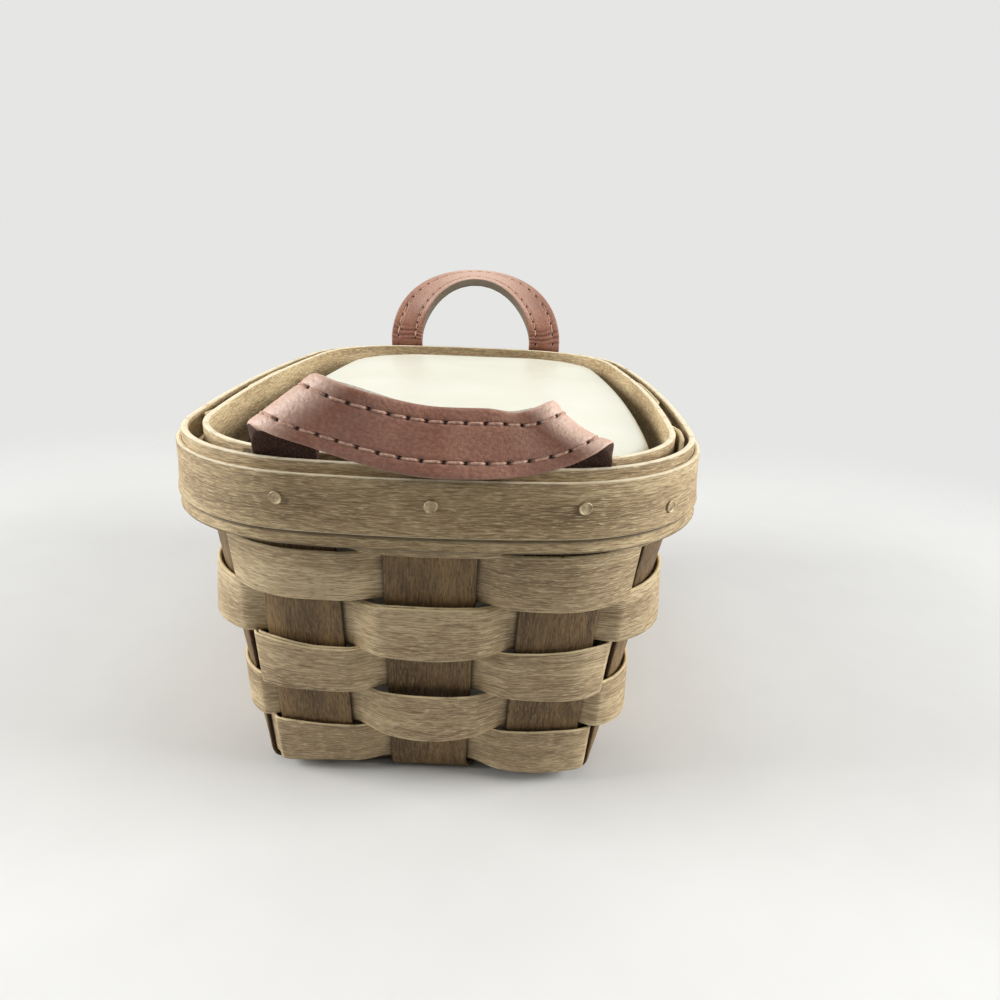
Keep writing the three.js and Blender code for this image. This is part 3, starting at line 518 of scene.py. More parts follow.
# Splints that cross in the base and turn up as the uprights
def splint_loops(place, width, is_long, crossings, under_first, top):
    half = SPLINT_THICKNESS / 2
    profile = strip_profile(width, SPLINT_THICKNESS, 5)
    sides = {-1: "front", 1: "back"} if is_long else {-1: "left", 1: "right"}
    reaches = {sign: BASE_LENGTH / 2 if is_long else BASE_WIDTH / 2 + sign * BASE_SHIFT for sign in sides}

    def level(index):
        return half if (index % 2 == 0) == under_first else half + LAYER_STEP

    def on_wall(sign, across, height, offset):
        oval = wall_oval(height)
        middle = fanned(oval, sides[sign], place)
        x, y, _, _ = oval.at(oval.length_at(sides[sign], middle + across - width / 2), offset)
        return (y, x) if is_long else (x, y)

    def wall_loop(sign, height):
        return [(*on_wall(sign, across, height, depth), height) for across, depth in profile]

    def bend_loop(sign, floor, t):
        """Part t of the turn from the wall down into the base."""
        loop = []
        for across, depth in profile:
            along, aside = on_wall(sign, across, WEAVER_FIRST_HEIGHT, 0)
            high = np.array((sign * along, WEAVER_FIRST_HEIGHT))
            corner = np.array((sign * along - TURN_LEAN, floor))
            low = np.array((reaches[sign] - TURN_IN, floor))
            ahead = (1 - t) * (corner - high) + t * (low - corner)
            out = np.array((-ahead[1], ahead[0])) / math.hypot(*ahead)
            bent = (1 - t) ** 2 * high + 2 * t * (1 - t) * corner + t * t * low
            along, height = bent + depth * out
            loop.append((sign * along, mix(aside, place + across - width / 2, smooth(t)), height))
        return loop

    def floor_loop(along, height, slope):
        size = math.hypot(1, slope)
        aside = place - width / 2
        return [(along + d * slope / size, aside + a, height - d / size) for a, d in profile]

    heights = [round(h, 2) for h in np.linspace(top, WEAVER_FIRST_HEIGHT, WALL_STEPS)]
    turns = [i / BEND_STEPS for i in range(1, BEND_STEPS + 1)]
    loops = [wall_loop(-1, h) for h in heights]
    loops += [bend_loop(-1, level(0), t) for t in turns]
    for index in range(len(crossings) - 1):
        start = crossings[index] + UPRIGHT_WIDTH / 2
        stop = crossings[index + 1] - UPRIGHT_WIDTH / 2
        rise = level(index + 1) - level(index)
        loops.append(floor_loop(crossings[index] if index else 1.3 * TURN_IN - reaches[-1], level(index), 0))
        for share in [0.0] + turns:
            slope = rise * 6 * share * (1 - share) / (stop - start)
            loops.append(floor_loop(mix(start, stop, share), level(index) + rise * smooth(share), slope))
    last = level(len(crossings) - 1)
    loops.append(floor_loop(reaches[1] - 1.3 * TURN_IN, last, 0))
    loops += [bend_loop(1, last, t) for t in reversed(turns)]
    loops += [wall_loop(1, h) for h in reversed(heights)]
    if is_long:
        loops = [[(aside, along, z) for along, aside, z in loop] for loop in loops]
    return loops, path_lengths(np.array(loops)[:, len(profile) // 4]), profile


def base_splints(finish):
    for word, node, places, crossings, seed_step, first_seed in (
        ("lengthwise", "long", LONG_PLACES, CROSS_PLACES, 5.3, 2),
        ("crosswise", "cross", CROSS_PLACES, LONG_PLACES, 4.9, 31),
    ):
        is_long = places is LONG_PLACES
        for index, place in enumerate(places):
            width = OUTER_LONG_WIDTH if is_long and place else UPRIGHT_WIDTH
            top = UPRIGHT_TOP if is_long or index else LOW_TOP
            under_first = index % 2 == (1 if is_long else 0)
            loops, lengths, profile = splint_loops(place, width, is_long, crossings, under_first, top)
            seed = seed_step * index + first_seed
            piece = splint_strip(f"{word}_splint_{index + 1}", loops, lengths, profile, seed, finish)
            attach(piece, "basket")
            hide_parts(f"{node}_splint_{index + 1}")


# Rim bands
@lru_cache(maxsize=None)
def flared_oval(height, flare):
    """The wall behind the bands, wider at the long sides towards the foot of the bands."""
    share = clamp01((RIM_HEIGHT - height) / (RIM_HEIGHT - BAND_FOOT))
    return Oval(
        RIM_WIDTH / 2 - WALL_INSET + flare * share**4,
        RIM_LENGTH / 2 - WALL_INSET,
        RIM_END_RADIUS - WALL_INSET,
        RIM_SIDE_RADIUS - WALL_INSET,
        RIM_CORNER_RADIUS - WALL_INSET,
        BAND_SHIFT,
    )


def rim_band(word, face_inset, thickness, foot, height, flare, scarf_index, seed, finish):
    oval = wall_oval(RIM_HEIGHT)
    start = station_length(oval, scarf_index)
    scarf_end = start + SCARF_LENGTH
    finish_line = scarf_end + oval.whole
    spare = thickness - 2 * SCARF_TIP - LAYER_GAP
    lengths = np.linspace(start, finish_line, BAND_STEPS)

    def outer_face(s):
        if s <= scarf_end:
            return SCARF_TIP + spare * (s - start) / SCARF_LENGTH
        return mix(SCARF_TIP + spare, thickness, clamp01((s - scarf_end) / SCARF_RUN_OUT))

    def inner_face(s):
        past = s - start - oval.whole
        if past >= 0:
            return SCARF_TIP + LAYER_GAP + spare * past / SCARF_LENGTH
        return mix(0, SCARF_TIP + LAYER_GAP, clamp01(1 + past / SCARF_RUN_OUT))

    profile = strip_profile(height, thickness, 4)
    loops = []
    for s in lengths:
        inner, outer = inner_face(s), outer_face(s)
        sway = BAND_WAVER * waver(s % oval.whole, seed, oval.whole / 7)
        loop = []
        for across, depth in profile:
            thick = mix(inner, outer, depth / thickness + 0.5)
            flared = flared_oval(round(foot + across, 2), flare)
            offset = WALL_INSET - face_inset - thickness + thick + sway
            x, y, _, _ = flared.at(s * flared.whole / oval.whole, offset)
            loop.append((x, y, foot + across))
        loops.append(loop)
    piece = splint_strip(f"{word}_band", loops, lengths, profile, seed, finish)
    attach(piece, "basket")
    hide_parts(f"{word}_rim_band")


# Tacks, all in one mesh: flat discs with a thin raised lip. Their section is (radius, height off the band);
# the places of those away from the middle of their upright go by the upright's number.
TACK_SIDES = 24
TACK_ENDS = (-1.2, 0.39)
TACK_SHANK = [(0.6, -1.2), (0.6, 0.05)]
TACK_HEAD = [(1.18, 0.05), (1.28, 0.1), (1.32, 0.22), (1.29, 0.37), (1.2, 0.45), (1.1, 0.44)]
TACK_HEAD += [(0.98, 0.35), (0.7, 0.36), (0.35, 0.38)]
TACK_DENT = 0.03
TACK_PLACES = {0: 1.2, 1: 28.6, 2: -72.7, 7: 27.8, 9: -27.8, 15: -26.8}
TACK_HEIGHTS = {2: 78.8}


def shell_parts(rings, ends, first=0):
    """Points and faces of a shell through closed rings, which ends in two middle points."""
    count = len(rings[0])
    grid = first + np.arange(len(rings) * count).reshape(-1, count)
    after = np.roll(grid, -1, axis=1)
    faces = np.stack([grid[:-1], after[:-1], after[1:], grid[1:]], axis=-1).reshape(-1, 4).tolist()
    for end, turn in ((0, -1), (-1, 1)):
        middle = np.full(count, grid[-1, -1] + (1 if end == 0 else 2))
        faces += np.stack([grid[end], after[end], middle], axis=-1)[:, ::turn].tolist()
    return [point for ring in rings for point in ring] + list(ends), faces


def rim_tacks(finish):
    vertices = []
    faces = []
    turns = 2 * math.pi * np.arange(TACK_SIDES)[:, None] / TACK_SIDES
    for number, (side, place) in enumerate(UPRIGHTS):
        place = TACK_PLACES.get(number, place)
        middle = TACK_HEIGHTS.get(number, TACK_HEIGHT)
        oval = flared_oval(middle, BAND_FLARE)
        x, y, nx, ny = oval.at(oval.length_at(side, place), WALL_INSET)
        centre = np.array([x, y, middle])
        out = np.array([nx, ny, 0.0])
        circle = np.cos(turns) * np.array([-ny, nx, 0.0]) + np.sin(turns) * np.array([0.0, 0.0, 1.0])
        dented = circle * (1 + TACK_DENT * np.sin(2 * turns + number))
        rings = [centre + out * off + circle * radius for radius, off in TACK_SHANK]
        rings += [centre + out * off + dented * radius for radius, off in TACK_HEAD]
        points, sides = shell_parts(rings, [centre + out * off for off in TACK_ENDS], len(vertices))
        vertices += points
        faces += sides
    piece = closed_mesh("rim_tacks", vertices, faces, finish)
    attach(piece, "basket")
    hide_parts(*[f"tack_{i + 1}" for i in range(COUNT)])


# Leather ears. A strap is laid out flat first: u runs along it and is 0 where it leaves the rim, v runs
# across it from its inner edge to its outer edge. Places are in x, outward from the pivot and up from it, for
# the left half; the right half is mirrored. The grain side faces inward at the legs.
FRONT_HALVES = {
    "left": {"span": 27.02, "leg": 2.5, "slope": 37.1, "radius": 3.76, "sag": 0.2, "draw": 0.0},
    "right": {"span": 28.3, "leg": 2.8, "slope": 32.5, "radius": 2.3, "sag": 1.5, "draw": 0.12},
}
FRONT_LOW = np.array([2.75, 7.5, 2.87])
FRONT_LEAN = 22.6
FOLD_TO_RUN = 8.0
LEG_END = 2.0
LEG_FREE_FROM, LEG_FREE_RUN = 2.2, 2.6
LEG_FULL_FROM, LEG_FULL_RUN = 3.4, 3.8
LEG_FOLD_FROM, LEG_FOLD_RUN = 2.5, 4.0
REAR_HALF_SPAN = 28.3
REAR_SHIFT = 1.4
REAR_HEIGHT = 25.5
REAR_LEAN = 3.0
REAR_TWIST = 76.0
REAR_THICKNESS = 3.2
FRONT_BLEND = 1.0
TUCK_DEPTH = 14.0
BARE_LEG = 7.0
SHEEN_TOP = 19.0
SHEEN_BEND = 0.24
CRINKLE_PITCH = 1.9
CRINKLE_REACH = 8.0
CRINKLE_DEPTH = 0.35
STRAP_STEP = 0.34
STRAP_CROWN = 0.12
ROUND_FROM = 5.5
GRAIN_EDGE_DROP = 0.35
FLESH_EDGE_DROP = 0.22
CUT_DROP = 0.5
FUZZ = 0.1
EASING_PASSES = 40
GROOVE_DEPTH = 0.18
GROOVE_WIDTH = 0.5
HOLE_DEPTH = 0.6
HOLE_LENGTH = 0.54
HOLE_WIDTH = 0.34
STITCH_ROW = 3.5
STITCH_PITCH = 3.6
STITCH_FIRST = 1.2
STITCH_SLANT = 0.14
STITCH_INSET = 0.06
STITCH_SPARE = 0.8
THREAD_SIDES = 8
THREAD_RINGS = 13
THREAD_HALF_WIDTH = 0.25
THREAD_HALF_HEIGHT = 0.2
THREAD_SUNK = 0.62
THREAD_RISE = 0.58
OUTWARD = np.array([0.0, 1.0, 0.0])
MIRROR = np.array([-1.0, 1.0, 1.0])


def unit(v):
    return v / np.linalg.norm(v, axis=-1, keepdims=True)


def pivot_reach():
    oval = wall_oval(RIM_HEIGHT)
    return oval.at(oval.length_at("back", EAR_HALF_SPAN), WALL_INSET - STRAP_END_INSET)[1]


def path_lengths(points):
    return np.concatenate([[0.0], np.cumsum(np.linalg.norm(np.diff(points, axis=0), axis=1))])


def interpolated(place, places, rows):
    """The point at a place in a row of points."""
    return np.array([np.interp(place, places, rows[:, c]) for c in range(3)])


def drawn_to_path(half, points, normals, u, v, share):
    """Points and normals of a half, brought towards the path of its free part."""
    paths = (half.middles, half.acrosses, half.grains)
    middle, across, grain = (interpolated(u, half.lengths, rows) for rows in paths)
    return mix(points, middle + v[:, None] * across, share), mix(normals, grain, share)


def tucked(u, v, span):
    """The leg: its end lies along the bands, and it comes free just above the rim."""
    oval = wall_oval(RIM_HEIGHT)
    x, _, nx, ny = oval.at(oval.length_at("back", span), WALL_INSET - STRAP_END_INSET)
    free = smooth((u + LEG_FREE_FROM) / LEG_FREE_RUN)
    across = unit(np.array([mix(-ny, -1.0, free), mix(-nx, 0.0, free), 0.0]))
    middle = np.array([mix(-x, -span, free), 0.0, u])
    return middle + v[:, None] * across, np.array([-across[1], across[0], 0.0])


class RearHalf:
    """Half of the standing ear: an arch that turns its grain side up on the way to the top."""

    def __init__(self, hand):
        self.shift = REAR_SHIFT if hand == "left" else -REAR_SHIFT
        angles = np.linspace(0, math.pi / 2, PATH_STEPS)
        rise = np.sin(angles)
        flat = np.zeros_like(rise)
        twist = (math.radians(REAR_TWIST) * rise**1.6)[:, None]
        outline = unit(np.stack([-REAR_HEIGHT * np.cos(angles), flat, REAR_HALF_SPAN * rise], axis=1))
        aside = self.shift - REAR_HALF_SPAN * np.cos(angles)
        self.middles = np.stack([aside, REAR_LEAN * rise, REAR_HEIGHT * rise], axis=1)
        self.acrosses = outline * np.cos(twist) + OUTWARD * np.sin(twist)
        self.grains = outline * np.sin(twist) - OUTWARD * np.cos(twist)
        self.lengths = path_lengths(self.middles)
        self.end = self.lengths[-1]

    def at(self, u, v):
        points, normal = tucked(u, v, REAR_HALF_SPAN - self.shift)
        points, normal = drawn_to_path(self, points, normal, u, v, smooth(u / LEG_END))
        return points, np.broadcast_to(unit(normal), points.shape)


class FrontHalf:
    """Half of the flopped ear: it folds over a slanting line, then its run hangs outward over the rim."""

    def __init__(self, hand):
        sizes = FRONT_HALVES[hand]
        self.span, self.leg, self.radius = sizes["span"], sizes["leg"], sizes["radius"]
        self.sag, self.draw = sizes["sag"], sizes["draw"]
        slope = math.radians(sizes["slope"])
        self.cos, self.sin = math.cos(slope), math.sin(slope)
        self.fold_line = np.array([self.cos, 0.0, self.sin])
        self.square = np.array([-self.sin, 0.0, self.cos])
        self.leg_top = np.array([-self.span, 0.0, self.leg])
        half_turn = math.pi * self.radius
        begin = self.leg_top + half_turn * self.sin / self.cos * self.fold_line + 2 * self.radius * OUTWARD
        ahead = np.array([2 * self.sin * self.cos, 0.0, self.sin**2 - self.cos**2])
        low = FRONT_LOW if hand == "left" else FRONT_LOW * MIRROR
        pull = np.linalg.norm(low - begin)
        level = np.array([1.0, 0.0, 0.0])
        t = np.linspace(0, 1, PATH_STEPS)[:, None]
        self.middles = (1 + 2 * t) * (1 - t) ** 2 * begin + t * (1 - t) ** 2 * pull * ahead
        self.middles = self.middles + t * t * (3 - 2 * t) * low + t * t * (t - 1) * pull * level
        along = np.gradient(self.middles, axis=0)
        along[0], along[-1] = ahead, level
        along = unit(along)
        tilt = (math.radians(FRONT_LEAN) * smooth(t))[:, 0]
        facing = np.stack([np.zeros_like(tilt), np.cos(tilt), np.sin(tilt)], axis=1)
        self.acrosses = unit(np.cross(facing, along))
        self.grains = np.cross(along, self.acrosses)
        self.lengths = self.leg + half_turn / self.cos + path_lengths(self.middles)
        self.end = self.lengths[-1]

    def at(self, u, v):
        up = u - self.leg
        square_on = (up * self.cos + v * self.sin)[:, None]
        off_top = (square_on - math.pi * self.radius / 2) / (2 * self.radius)
        at_fold = np.exp(-(off_top**2))
        drawn = v[:, None] * (1 - self.draw * at_fold)
        along_fold = up * self.sin - drawn * self.cos
        angle = np.clip(square_on / self.radius, 0, math.pi)
        past = np.maximum(square_on - math.pi * self.radius, 0)
        climb = np.minimum(square_on, 0) + self.radius * np.sin(angle) - past
        climb = climb - self.sag * at_fold * (1 - (v[:, None] / STRAP_HALF_WIDTH) ** 2)
        points = self.leg_top + along_fold * self.fold_line + climb * self.square
        points = points + self.radius * (1 - np.cos(angle)) * OUTWARD
        normals = np.sin(angle) * self.square - np.cos(angle) * OUTWARD
        if u < LEG_END:
            low_points, low_normal = tucked(u, v, self.span)
            share = smooth((square_on + LEG_FOLD_FROM) / LEG_FOLD_RUN)
            points = mix(low_points, points, share)
            normals = mix(low_normal, normals, share)
        points, normals = drawn_to_path(self, points, normals, u, v, smooth(past / FOLD_TO_RUN))
        return points, unit(normals)


class Strap:
    """An ear's leather from one tucked end to the other, as rows of places across it and their normals."""

    def __init__(self, halves, outward):
        inner = [0.0, 0.8, 1.6, 2.3, 2.75, 3.0, 3.2, 3.35, 3.5, 3.65]
        inner += [3.8, 4.0, 4.25, 4.7, 5.2, 5.6, 5.85, 6.02, 6.15, STRAP_HALF_WIDTH]
        self.across = np.array([-a for a in reversed(inner[1:])] + inner)
        self.outward = outward
        self.thickness = REAR_THICKNESS if outward > 0 else STRAP_THICKNESS
        self.left_length = halves[0].end + TUCK_DEPTH
        self.whole = self.left_length + halves[1].end + TUCK_DEPTH
        self.places = np.linspace(0, self.whole, int(self.whole / STRAP_STEP))
        rows = zip(*(self.laid_row(halves, s) for s in self.places))
        self.middles, leans = (self.softened(row) for row in rows)
        self.leans = unit(leans)

    def laid_row(self, halves, s):
        if s <= self.left_length:
            return halves[0].at(s - TUCK_DEPTH, self.across)
        points, normals = halves[1].at(self.whole - s - TUCK_DEPTH, self.across)
        return points * MIRROR, normals * MIRROR

    @staticmethod
    def softened(rows):
        """Rows along a strap, with the turns between its parts eased."""
        rows = np.array(rows)
        for _ in range(EASING_PASSES):
            rows[1:-1] = rows[:-2] / 4 + rows[1:-1] / 2 + rows[2:] / 4
        return rows

    def at(self, s, v):
        """A place on the strap and its normal."""
        row = s / self.whole * (len(self.places) - 1)
        low = min(int(row), len(self.places) - 2)
        sheets = (self.middles, self.leans)
        return [interpolated(v, self.across, mix(rows[low], rows[low + 1], row - low)) for rows in sheets]

    def in_frame(self, p):
        out = self.outward * (pivot_reach() + p[..., 1])
        return np.stack([p[..., 0], out, PIVOT_HEIGHT + p[..., 2]], axis=-1)


def both_sides(grain_side, flesh_side):
    """Values once round every section of a strap: over its grain side, then back over its flesh side."""
    return np.concatenate([grain_side, flesh_side[:, ::-1]], axis=1)


def strap_leather(name, strap, finish):
    """The leather: rounded edges, a slight crown, stitch holes in a groove, creased legs and a fuzzy back."""
    across, places = np.broadcast_arrays(strap.across, strap.places[:, None])
    number = np.arange(len(strap.places))[:, None]
    nothing = np.zeros_like(across)
    is_rear = strap.outward > 0
    is_cut = np.abs(across) == STRAP_HALF_WIDTH
    free = np.minimum(places, strap.whole - places) - TUCK_DEPTH
    thickness = mix(STRAP_END_THICKNESS, strap.thickness, smooth((free + LEG_FULL_FROM) / LEG_FULL_RUN))
    full = thickness / strap.thickness
    off_row = np.abs(across) - STITCH_ROW
    near_edge = np.maximum(np.abs(across) - ROUND_FROM, 0) / (STRAP_HALF_WIDTH - ROUND_FROM)
    groove = GROOVE_DEPTH * np.exp(-((off_row / GROOVE_WIDTH) ** 2))
    rise = STRAP_CROWN * (1 - (across / STRAP_HALF_WIDTH) ** 2) - groove - GRAIN_EDGE_DROP * near_edge**2
    rise = np.where(is_cut, -CUT_DROP, rise)
    sunk = np.where(is_cut, CUT_DROP, FLESH_EDGE_DROP * near_edge**2)
    past = (places - STITCH_FIRST) % STITCH_PITCH
    past = np.minimum(past, STITCH_PITCH - past)
    hole = np.exp(-((past / HOLE_LENGTH) ** 2)) * np.exp(-((off_row / HOLE_WIDTH) ** 2)) * full
    fuzz = FUZZ * np.sin(7.1 * across + 1.3 * number) * np.sin(2.9 * number + across) * ~is_cut
    bend = np.linalg.norm(np.gradient(strap.leans, axis=0), axis=2) / strap.places[1]
    # The grain side is lightened where the strap bends: painted sheen, partly wear.
    worn = np.clip(bend / SHEEN_BEND, 0, 1)
    crinkle = nothing
    if is_rear:
        # On the rear ear the top of the arch is lightened instead: painted sheen, partly wear.
        worn = np.exp(-(((places - strap.whole / 2) / SHEEN_TOP) ** 2))
        fold = (free + 0.4 * np.sin(0.6 * across + 0.02 * places)) * 2 * math.pi / CRINKLE_PITCH
        depth = smooth(free / 0.8) * smooth((CRINKLE_REACH - free) / 4)
        crinkle = depth * smooth(0.35 + 0.65 * np.sin(fold))
    is_bare = is_cut & (free < BARE_LEG) & ((across > 0) | (not is_rear))
    flesh = both_sides(is_bare, is_bare | ~is_cut).astype(float)
    # The inner cut edges get the full pale taupe and the outer ones only a quarter: painted light on the
    # inner edges, painted shade on the outer ones.
    taupe = np.where(is_cut, np.where(across < 0, 1.0, 0.25), 0.0)
    face = thickness / 2 + full * rise - HOLE_DEPTH * hole - CRINKLE_DEPTH * crinkle
    back = full * (sunk + fuzz) - thickness / 2
    loops = both_sides(*(strap.middles + strap.leans * lift[..., None] for lift in (face, back)))
    lay = np.stack([places * MM, across * MM, nothing + strap.outward], axis=-1)
    grain_side = {"hole": hole, "worn": worn, "crinkle": crinkle}
    rows, around = flesh.shape
    piece = closed_mesh(name, strap.in_frame(loops).reshape(-1, 3), swept_faces(rows, around), finish)
    note(piece, lay=both_sides(lay, lay), flesh=flesh, cut_edge=both_sides(taupe, taupe) * (1 - flesh))
    note(piece, **{key: both_sides(kept, nothing) for key, kept in grain_side.items()})
    return piece


def strap_stitching(name, strap, finish):
    """Each stitch is a thread that comes out of one hole and goes down into the next."""
    vertices = []
    faces = []
    spare = TUCK_DEPTH + STITCH_SPARE
    first_hole = math.ceil((spare - STITCH_FIRST) / STITCH_PITCH)
    last_hole = math.floor((strap.whole - spare - STITCH_FIRST) / STITCH_PITCH)
    for row in (-STITCH_ROW, STITCH_ROW):
        for number in range(first_hole, last_hole):
            faces.append(np.array(swept_faces(THREAD_RINGS, THREAD_SIDES)) + len(vertices))
            for ring in range(THREAD_RINGS):
                t = ring / (THREAD_RINGS - 1)
                s = STITCH_FIRST + (number + mix(STITCH_INSET, 1 - STITCH_INSET, t)) * STITCH_PITCH
                slanted = row + STITCH_SLANT * (0.5 - t)
                place, lean = strap.at(s, slanted)
                ahead, _ = strap.at(s + 0.1, slanted)
                tangent = unit(ahead - place)
                normal = unit(lean - tangent * (lean @ tangent))
                aside = np.cross(tangent, normal)
                lift = strap.thickness / 2 - THREAD_SUNK + THREAD_RISE * smooth(4.5 * min(t, 1 - t))
                for k in range(THREAD_SIDES):
                    turn = 2 * math.pi * k / THREAD_SIDES
                    wide = aside * THREAD_HALF_WIDTH * math.cos(turn)
                    high = normal * THREAD_HALF_HEIGHT * math.sin(turn)
                    vertices.append(place + normal * lift + wide + high)
    return closed_mesh(name, strap.in_frame(np.array(vertices)), np.concatenate(faces).tolist(), finish)


def ear(name, halves, outward, leather, thread):
    strap = Strap(halves, outward)
    hide = strap_leather(f"{name}_leather", strap, leather)
    ends = [f"{name}_{hand}_end" for hand in ("left", "right")]
    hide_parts(f"{name}_strap", *ends)
    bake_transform(hide)
    stitches = strap_stitching(f"{name}_stitching", strap, thread)
    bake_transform(stitches)


def ears(leather, thread):
    reach = pivot_reach() * MM
    pivot = PIVOT_HEIGHT * MM
    rear = (RearHalf("left"), RearHalf("right"))
    ear("rear_ear", rear, 1, leather, thread)
    front = (FrontHalf("left"), FrontHalf("right"))
    near = (0, -reach + FRONT_BLEND * MM, pivot - FRONT_BLEND * MM)
    far = (0, -reach - FRONT_BLEND * MM, pivot + FRONT_BLEND * MM)
    ear("front_ear", front, -1, leather, thread)


# Tub and lid
LID_EDGE = 86.4
LID_SIDE_GAP = 5.5
LID_END_GAP = 2.4
LID_INSET = 8.5
LID_SHIFT = 1.9
LID_WALL = 1.3
LID_EDGE_ROUND = 2.4
LID_CORNER_ROUND = 0.6
LID_CROWN = 1.6
SEAT_GAP = 0.3
FLANGE = 1.2
FLANGE_TOP = 84.8
FLANGE_FOOT = 82.8
TUB_FOOT = 2.3
TUB_WALL = 1.2
TUB_FILLET = 3.0
TUB_SIDE_GAP = 5.0
TUB_END_GAP = 4.0
TUB_END_RADIUS = 1500.0
TUB_SIDE_RADIUS = 600.0
TUB_CORNER_RADIUS = 10.0
LID_CORNER_INSET = 13.0
LIP_ROUND = 0.3
FLANGE_ROUND = 0.2
SKIRT_FOOT = 80.4
SKIRT_INSIDE = FLANGE + SEAT_GAP
SKIRT_OUTSIDE = SKIRT_INSIDE + LID_WALL


@lru_cache(maxsize=None)
def tub_oval(height):
    share = (height - TUB_FOOT) / (FLANGE_TOP - TUB_FOOT)
    inset = LID_INSET + SKIRT_OUTSIDE
    return Oval(
        mix(BASE_WIDTH / 2 - TUB_SIDE_GAP, RIM_WIDTH / 2 - inset - LID_SIDE_GAP, share),
        mix(BASE_LENGTH / 2 - TUB_END_GAP, RIM_LENGTH / 2 - inset - LID_END_GAP, share),
        TUB_END_RADIUS,
        TUB_SIDE_RADIUS,
        mix(TUB_CORNER_RADIUS, RIM_CORNER_RADIUS - LID_CORNER_INSET, share),
        LID_SHIFT * share,
    )


def plan_ring(oval, offset, height, shrink=1.0):
    bends = (0, oval.end_length, oval.end_length + oval.corner_length, oval.quarter)
    quarter = [mix(a, b, i / n) for a, b, n in zip(bends, bends[1:], PLAN_STEPS) for i in range(n)]
    half = quarter + [oval.quarter] + [2 * oval.quarter - s for s in reversed(quarter[1:])]
    ring = []
    for s in half + [s + 2 * oval.quarter for s in half]:
        x, y, _, _ = oval.at(s, offset)
        ring.append((x * shrink, y * shrink, height))
    return ring


def ring_shell(name, rings, finish):
    """A shell whose first and last ring close in their middle."""
    ends = [np.mean(ring, axis=0) for ring in (rings[0], rings[-1])]
    return closed_mesh(name, *shell_parts(rings, ends), finish)


def tea_tub(finish):
    turns = np.linspace(0, math.pi / 2, 7)
    rim = tub_oval(FLANGE_TOP)

    def fillet(turn, floor, wall):
        height = floor + TUB_FILLET * (1 - math.cos(turn))
        return plan_ring(tub_oval(height), -wall - TUB_FILLET * (1 - math.sin(turn)), height)

    rings = [fillet(turn, TUB_FOOT, 0) for turn in turns]
    rings.append(plan_ring(tub_oval(FLANGE_FOOT), 0, FLANGE_FOOT))
    for offset, height in (
        (FLANGE - FLANGE_ROUND, FLANGE_FOOT),
        (FLANGE, FLANGE_FOOT + FLANGE_ROUND),
        (FLANGE, FLANGE_TOP - LIP_ROUND),
        (FLANGE - LIP_ROUND, FLANGE_TOP),
        (LIP_ROUND - TUB_WALL, FLANGE_TOP),
        (-TUB_WALL, FLANGE_TOP - LIP_ROUND),
    ):
        rings.append(plan_ring(rim, offset, height))
    rings += [fillet(turn, TUB_FOOT + TUB_WALL, TUB_WALL) for turn in reversed(turns)]
    piece = ring_shell("tea_tub", rings, finish)
    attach(piece, "liner")
    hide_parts("liner_tub")


def tea_lid(finish):
    plan = tub_oval(FLANGE_TOP)
    ceiling = LID_EDGE - LID_WALL

    def crown(shrink, edge):
        height = edge + LID_CROWN * (1 - shrink**2)
        return plan_ring(plan, SKIRT_OUTSIDE - LID_EDGE_ROUND, height, shrink)

    shrinks = [0.02, 0.1, 0.2, 0.32, 0.45, 0.58, 0.7, 0.8, 0.88, 0.94, 0.98]
    rings = [crown(s, ceiling) for s in shrinks]
    for offset, height in (
        (SKIRT_INSIDE - LID_CORNER_ROUND, ceiling),
        (SKIRT_INSIDE, ceiling - LID_CORNER_ROUND),
        (SKIRT_INSIDE, SKIRT_FOOT + LIP_ROUND),
        (SKIRT_INSIDE + LIP_ROUND, SKIRT_FOOT),
        (SKIRT_OUTSIDE - LIP_ROUND, SKIRT_FOOT),
        (SKIRT_OUTSIDE, SKIRT_FOOT + LIP_ROUND),
    ):
        rings.append(plan_ring(plan, offset, height))
    for turn in np.linspace(0, math.pi / 2, 10):
        offset = SKIRT_OUTSIDE - LID_EDGE_ROUND * (1 - math.cos(turn))
        rings.append(plan_ring(plan, offset, LID_EDGE - LID_EDGE_ROUND * (1 - math.sin(turn))))
    rings += [crown(s, LID_EDGE) for s in reversed(shrinks)]
    piece = ring_shell("tea_lid", rings, finish)
    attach(piece, "lid")
    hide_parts("lid")


# Finishes
def shade(code):
    """A colour written as six hex digits, in the linear values that sockets take."""
    parts = [int(code[i : i + 2], 16) / 255 for i in (0, 2, 4)]
    linear = [p / 12.92 if p <= 0.04045 else ((p + 0.055) / 1.055) ** 2.4 for p in parts]
    return (*linear, 1.0)


class Wire:
    """An output socket in a finish; arithmetic on it adds Math nodes."""

    def __init__(self, finish, socket):
        self.finish = finish
        self.socket = socket

    def maths(self, operation, *terms):
        return self.finish.node("ShaderNodeMath", {"operation": operation}, dict(enumerate(terms)))

    def __add__(self, other):
        return self.maths("ADD", self, other)

    def __sub__(self, other):
        return self.maths("SUBTRACT", self, other)

    def __rsub__(self, other):
        return self.maths("SUBTRACT", other, self)

    def __mul__(self, other):
        return self.maths("MULTIPLY", self, other)

    __radd__ = __add__
    __rmul__ = __mul__

    def larger(self, other):
        return self.maths("MAXIMUM", self, other)

    def between(self, low, high):
        """0 below low, 1 above high, smooth between them."""
        settings = {"interpolation_type": "SMOOTHSTEP"}
        return self.finish.node("ShaderNodeMapRange", settings, {0: self, 1: low, 2: high})


PLAIN_SOCKETS = {"shine": "Specular IOR Level", "metal": "Metallic", "ior": "IOR"}


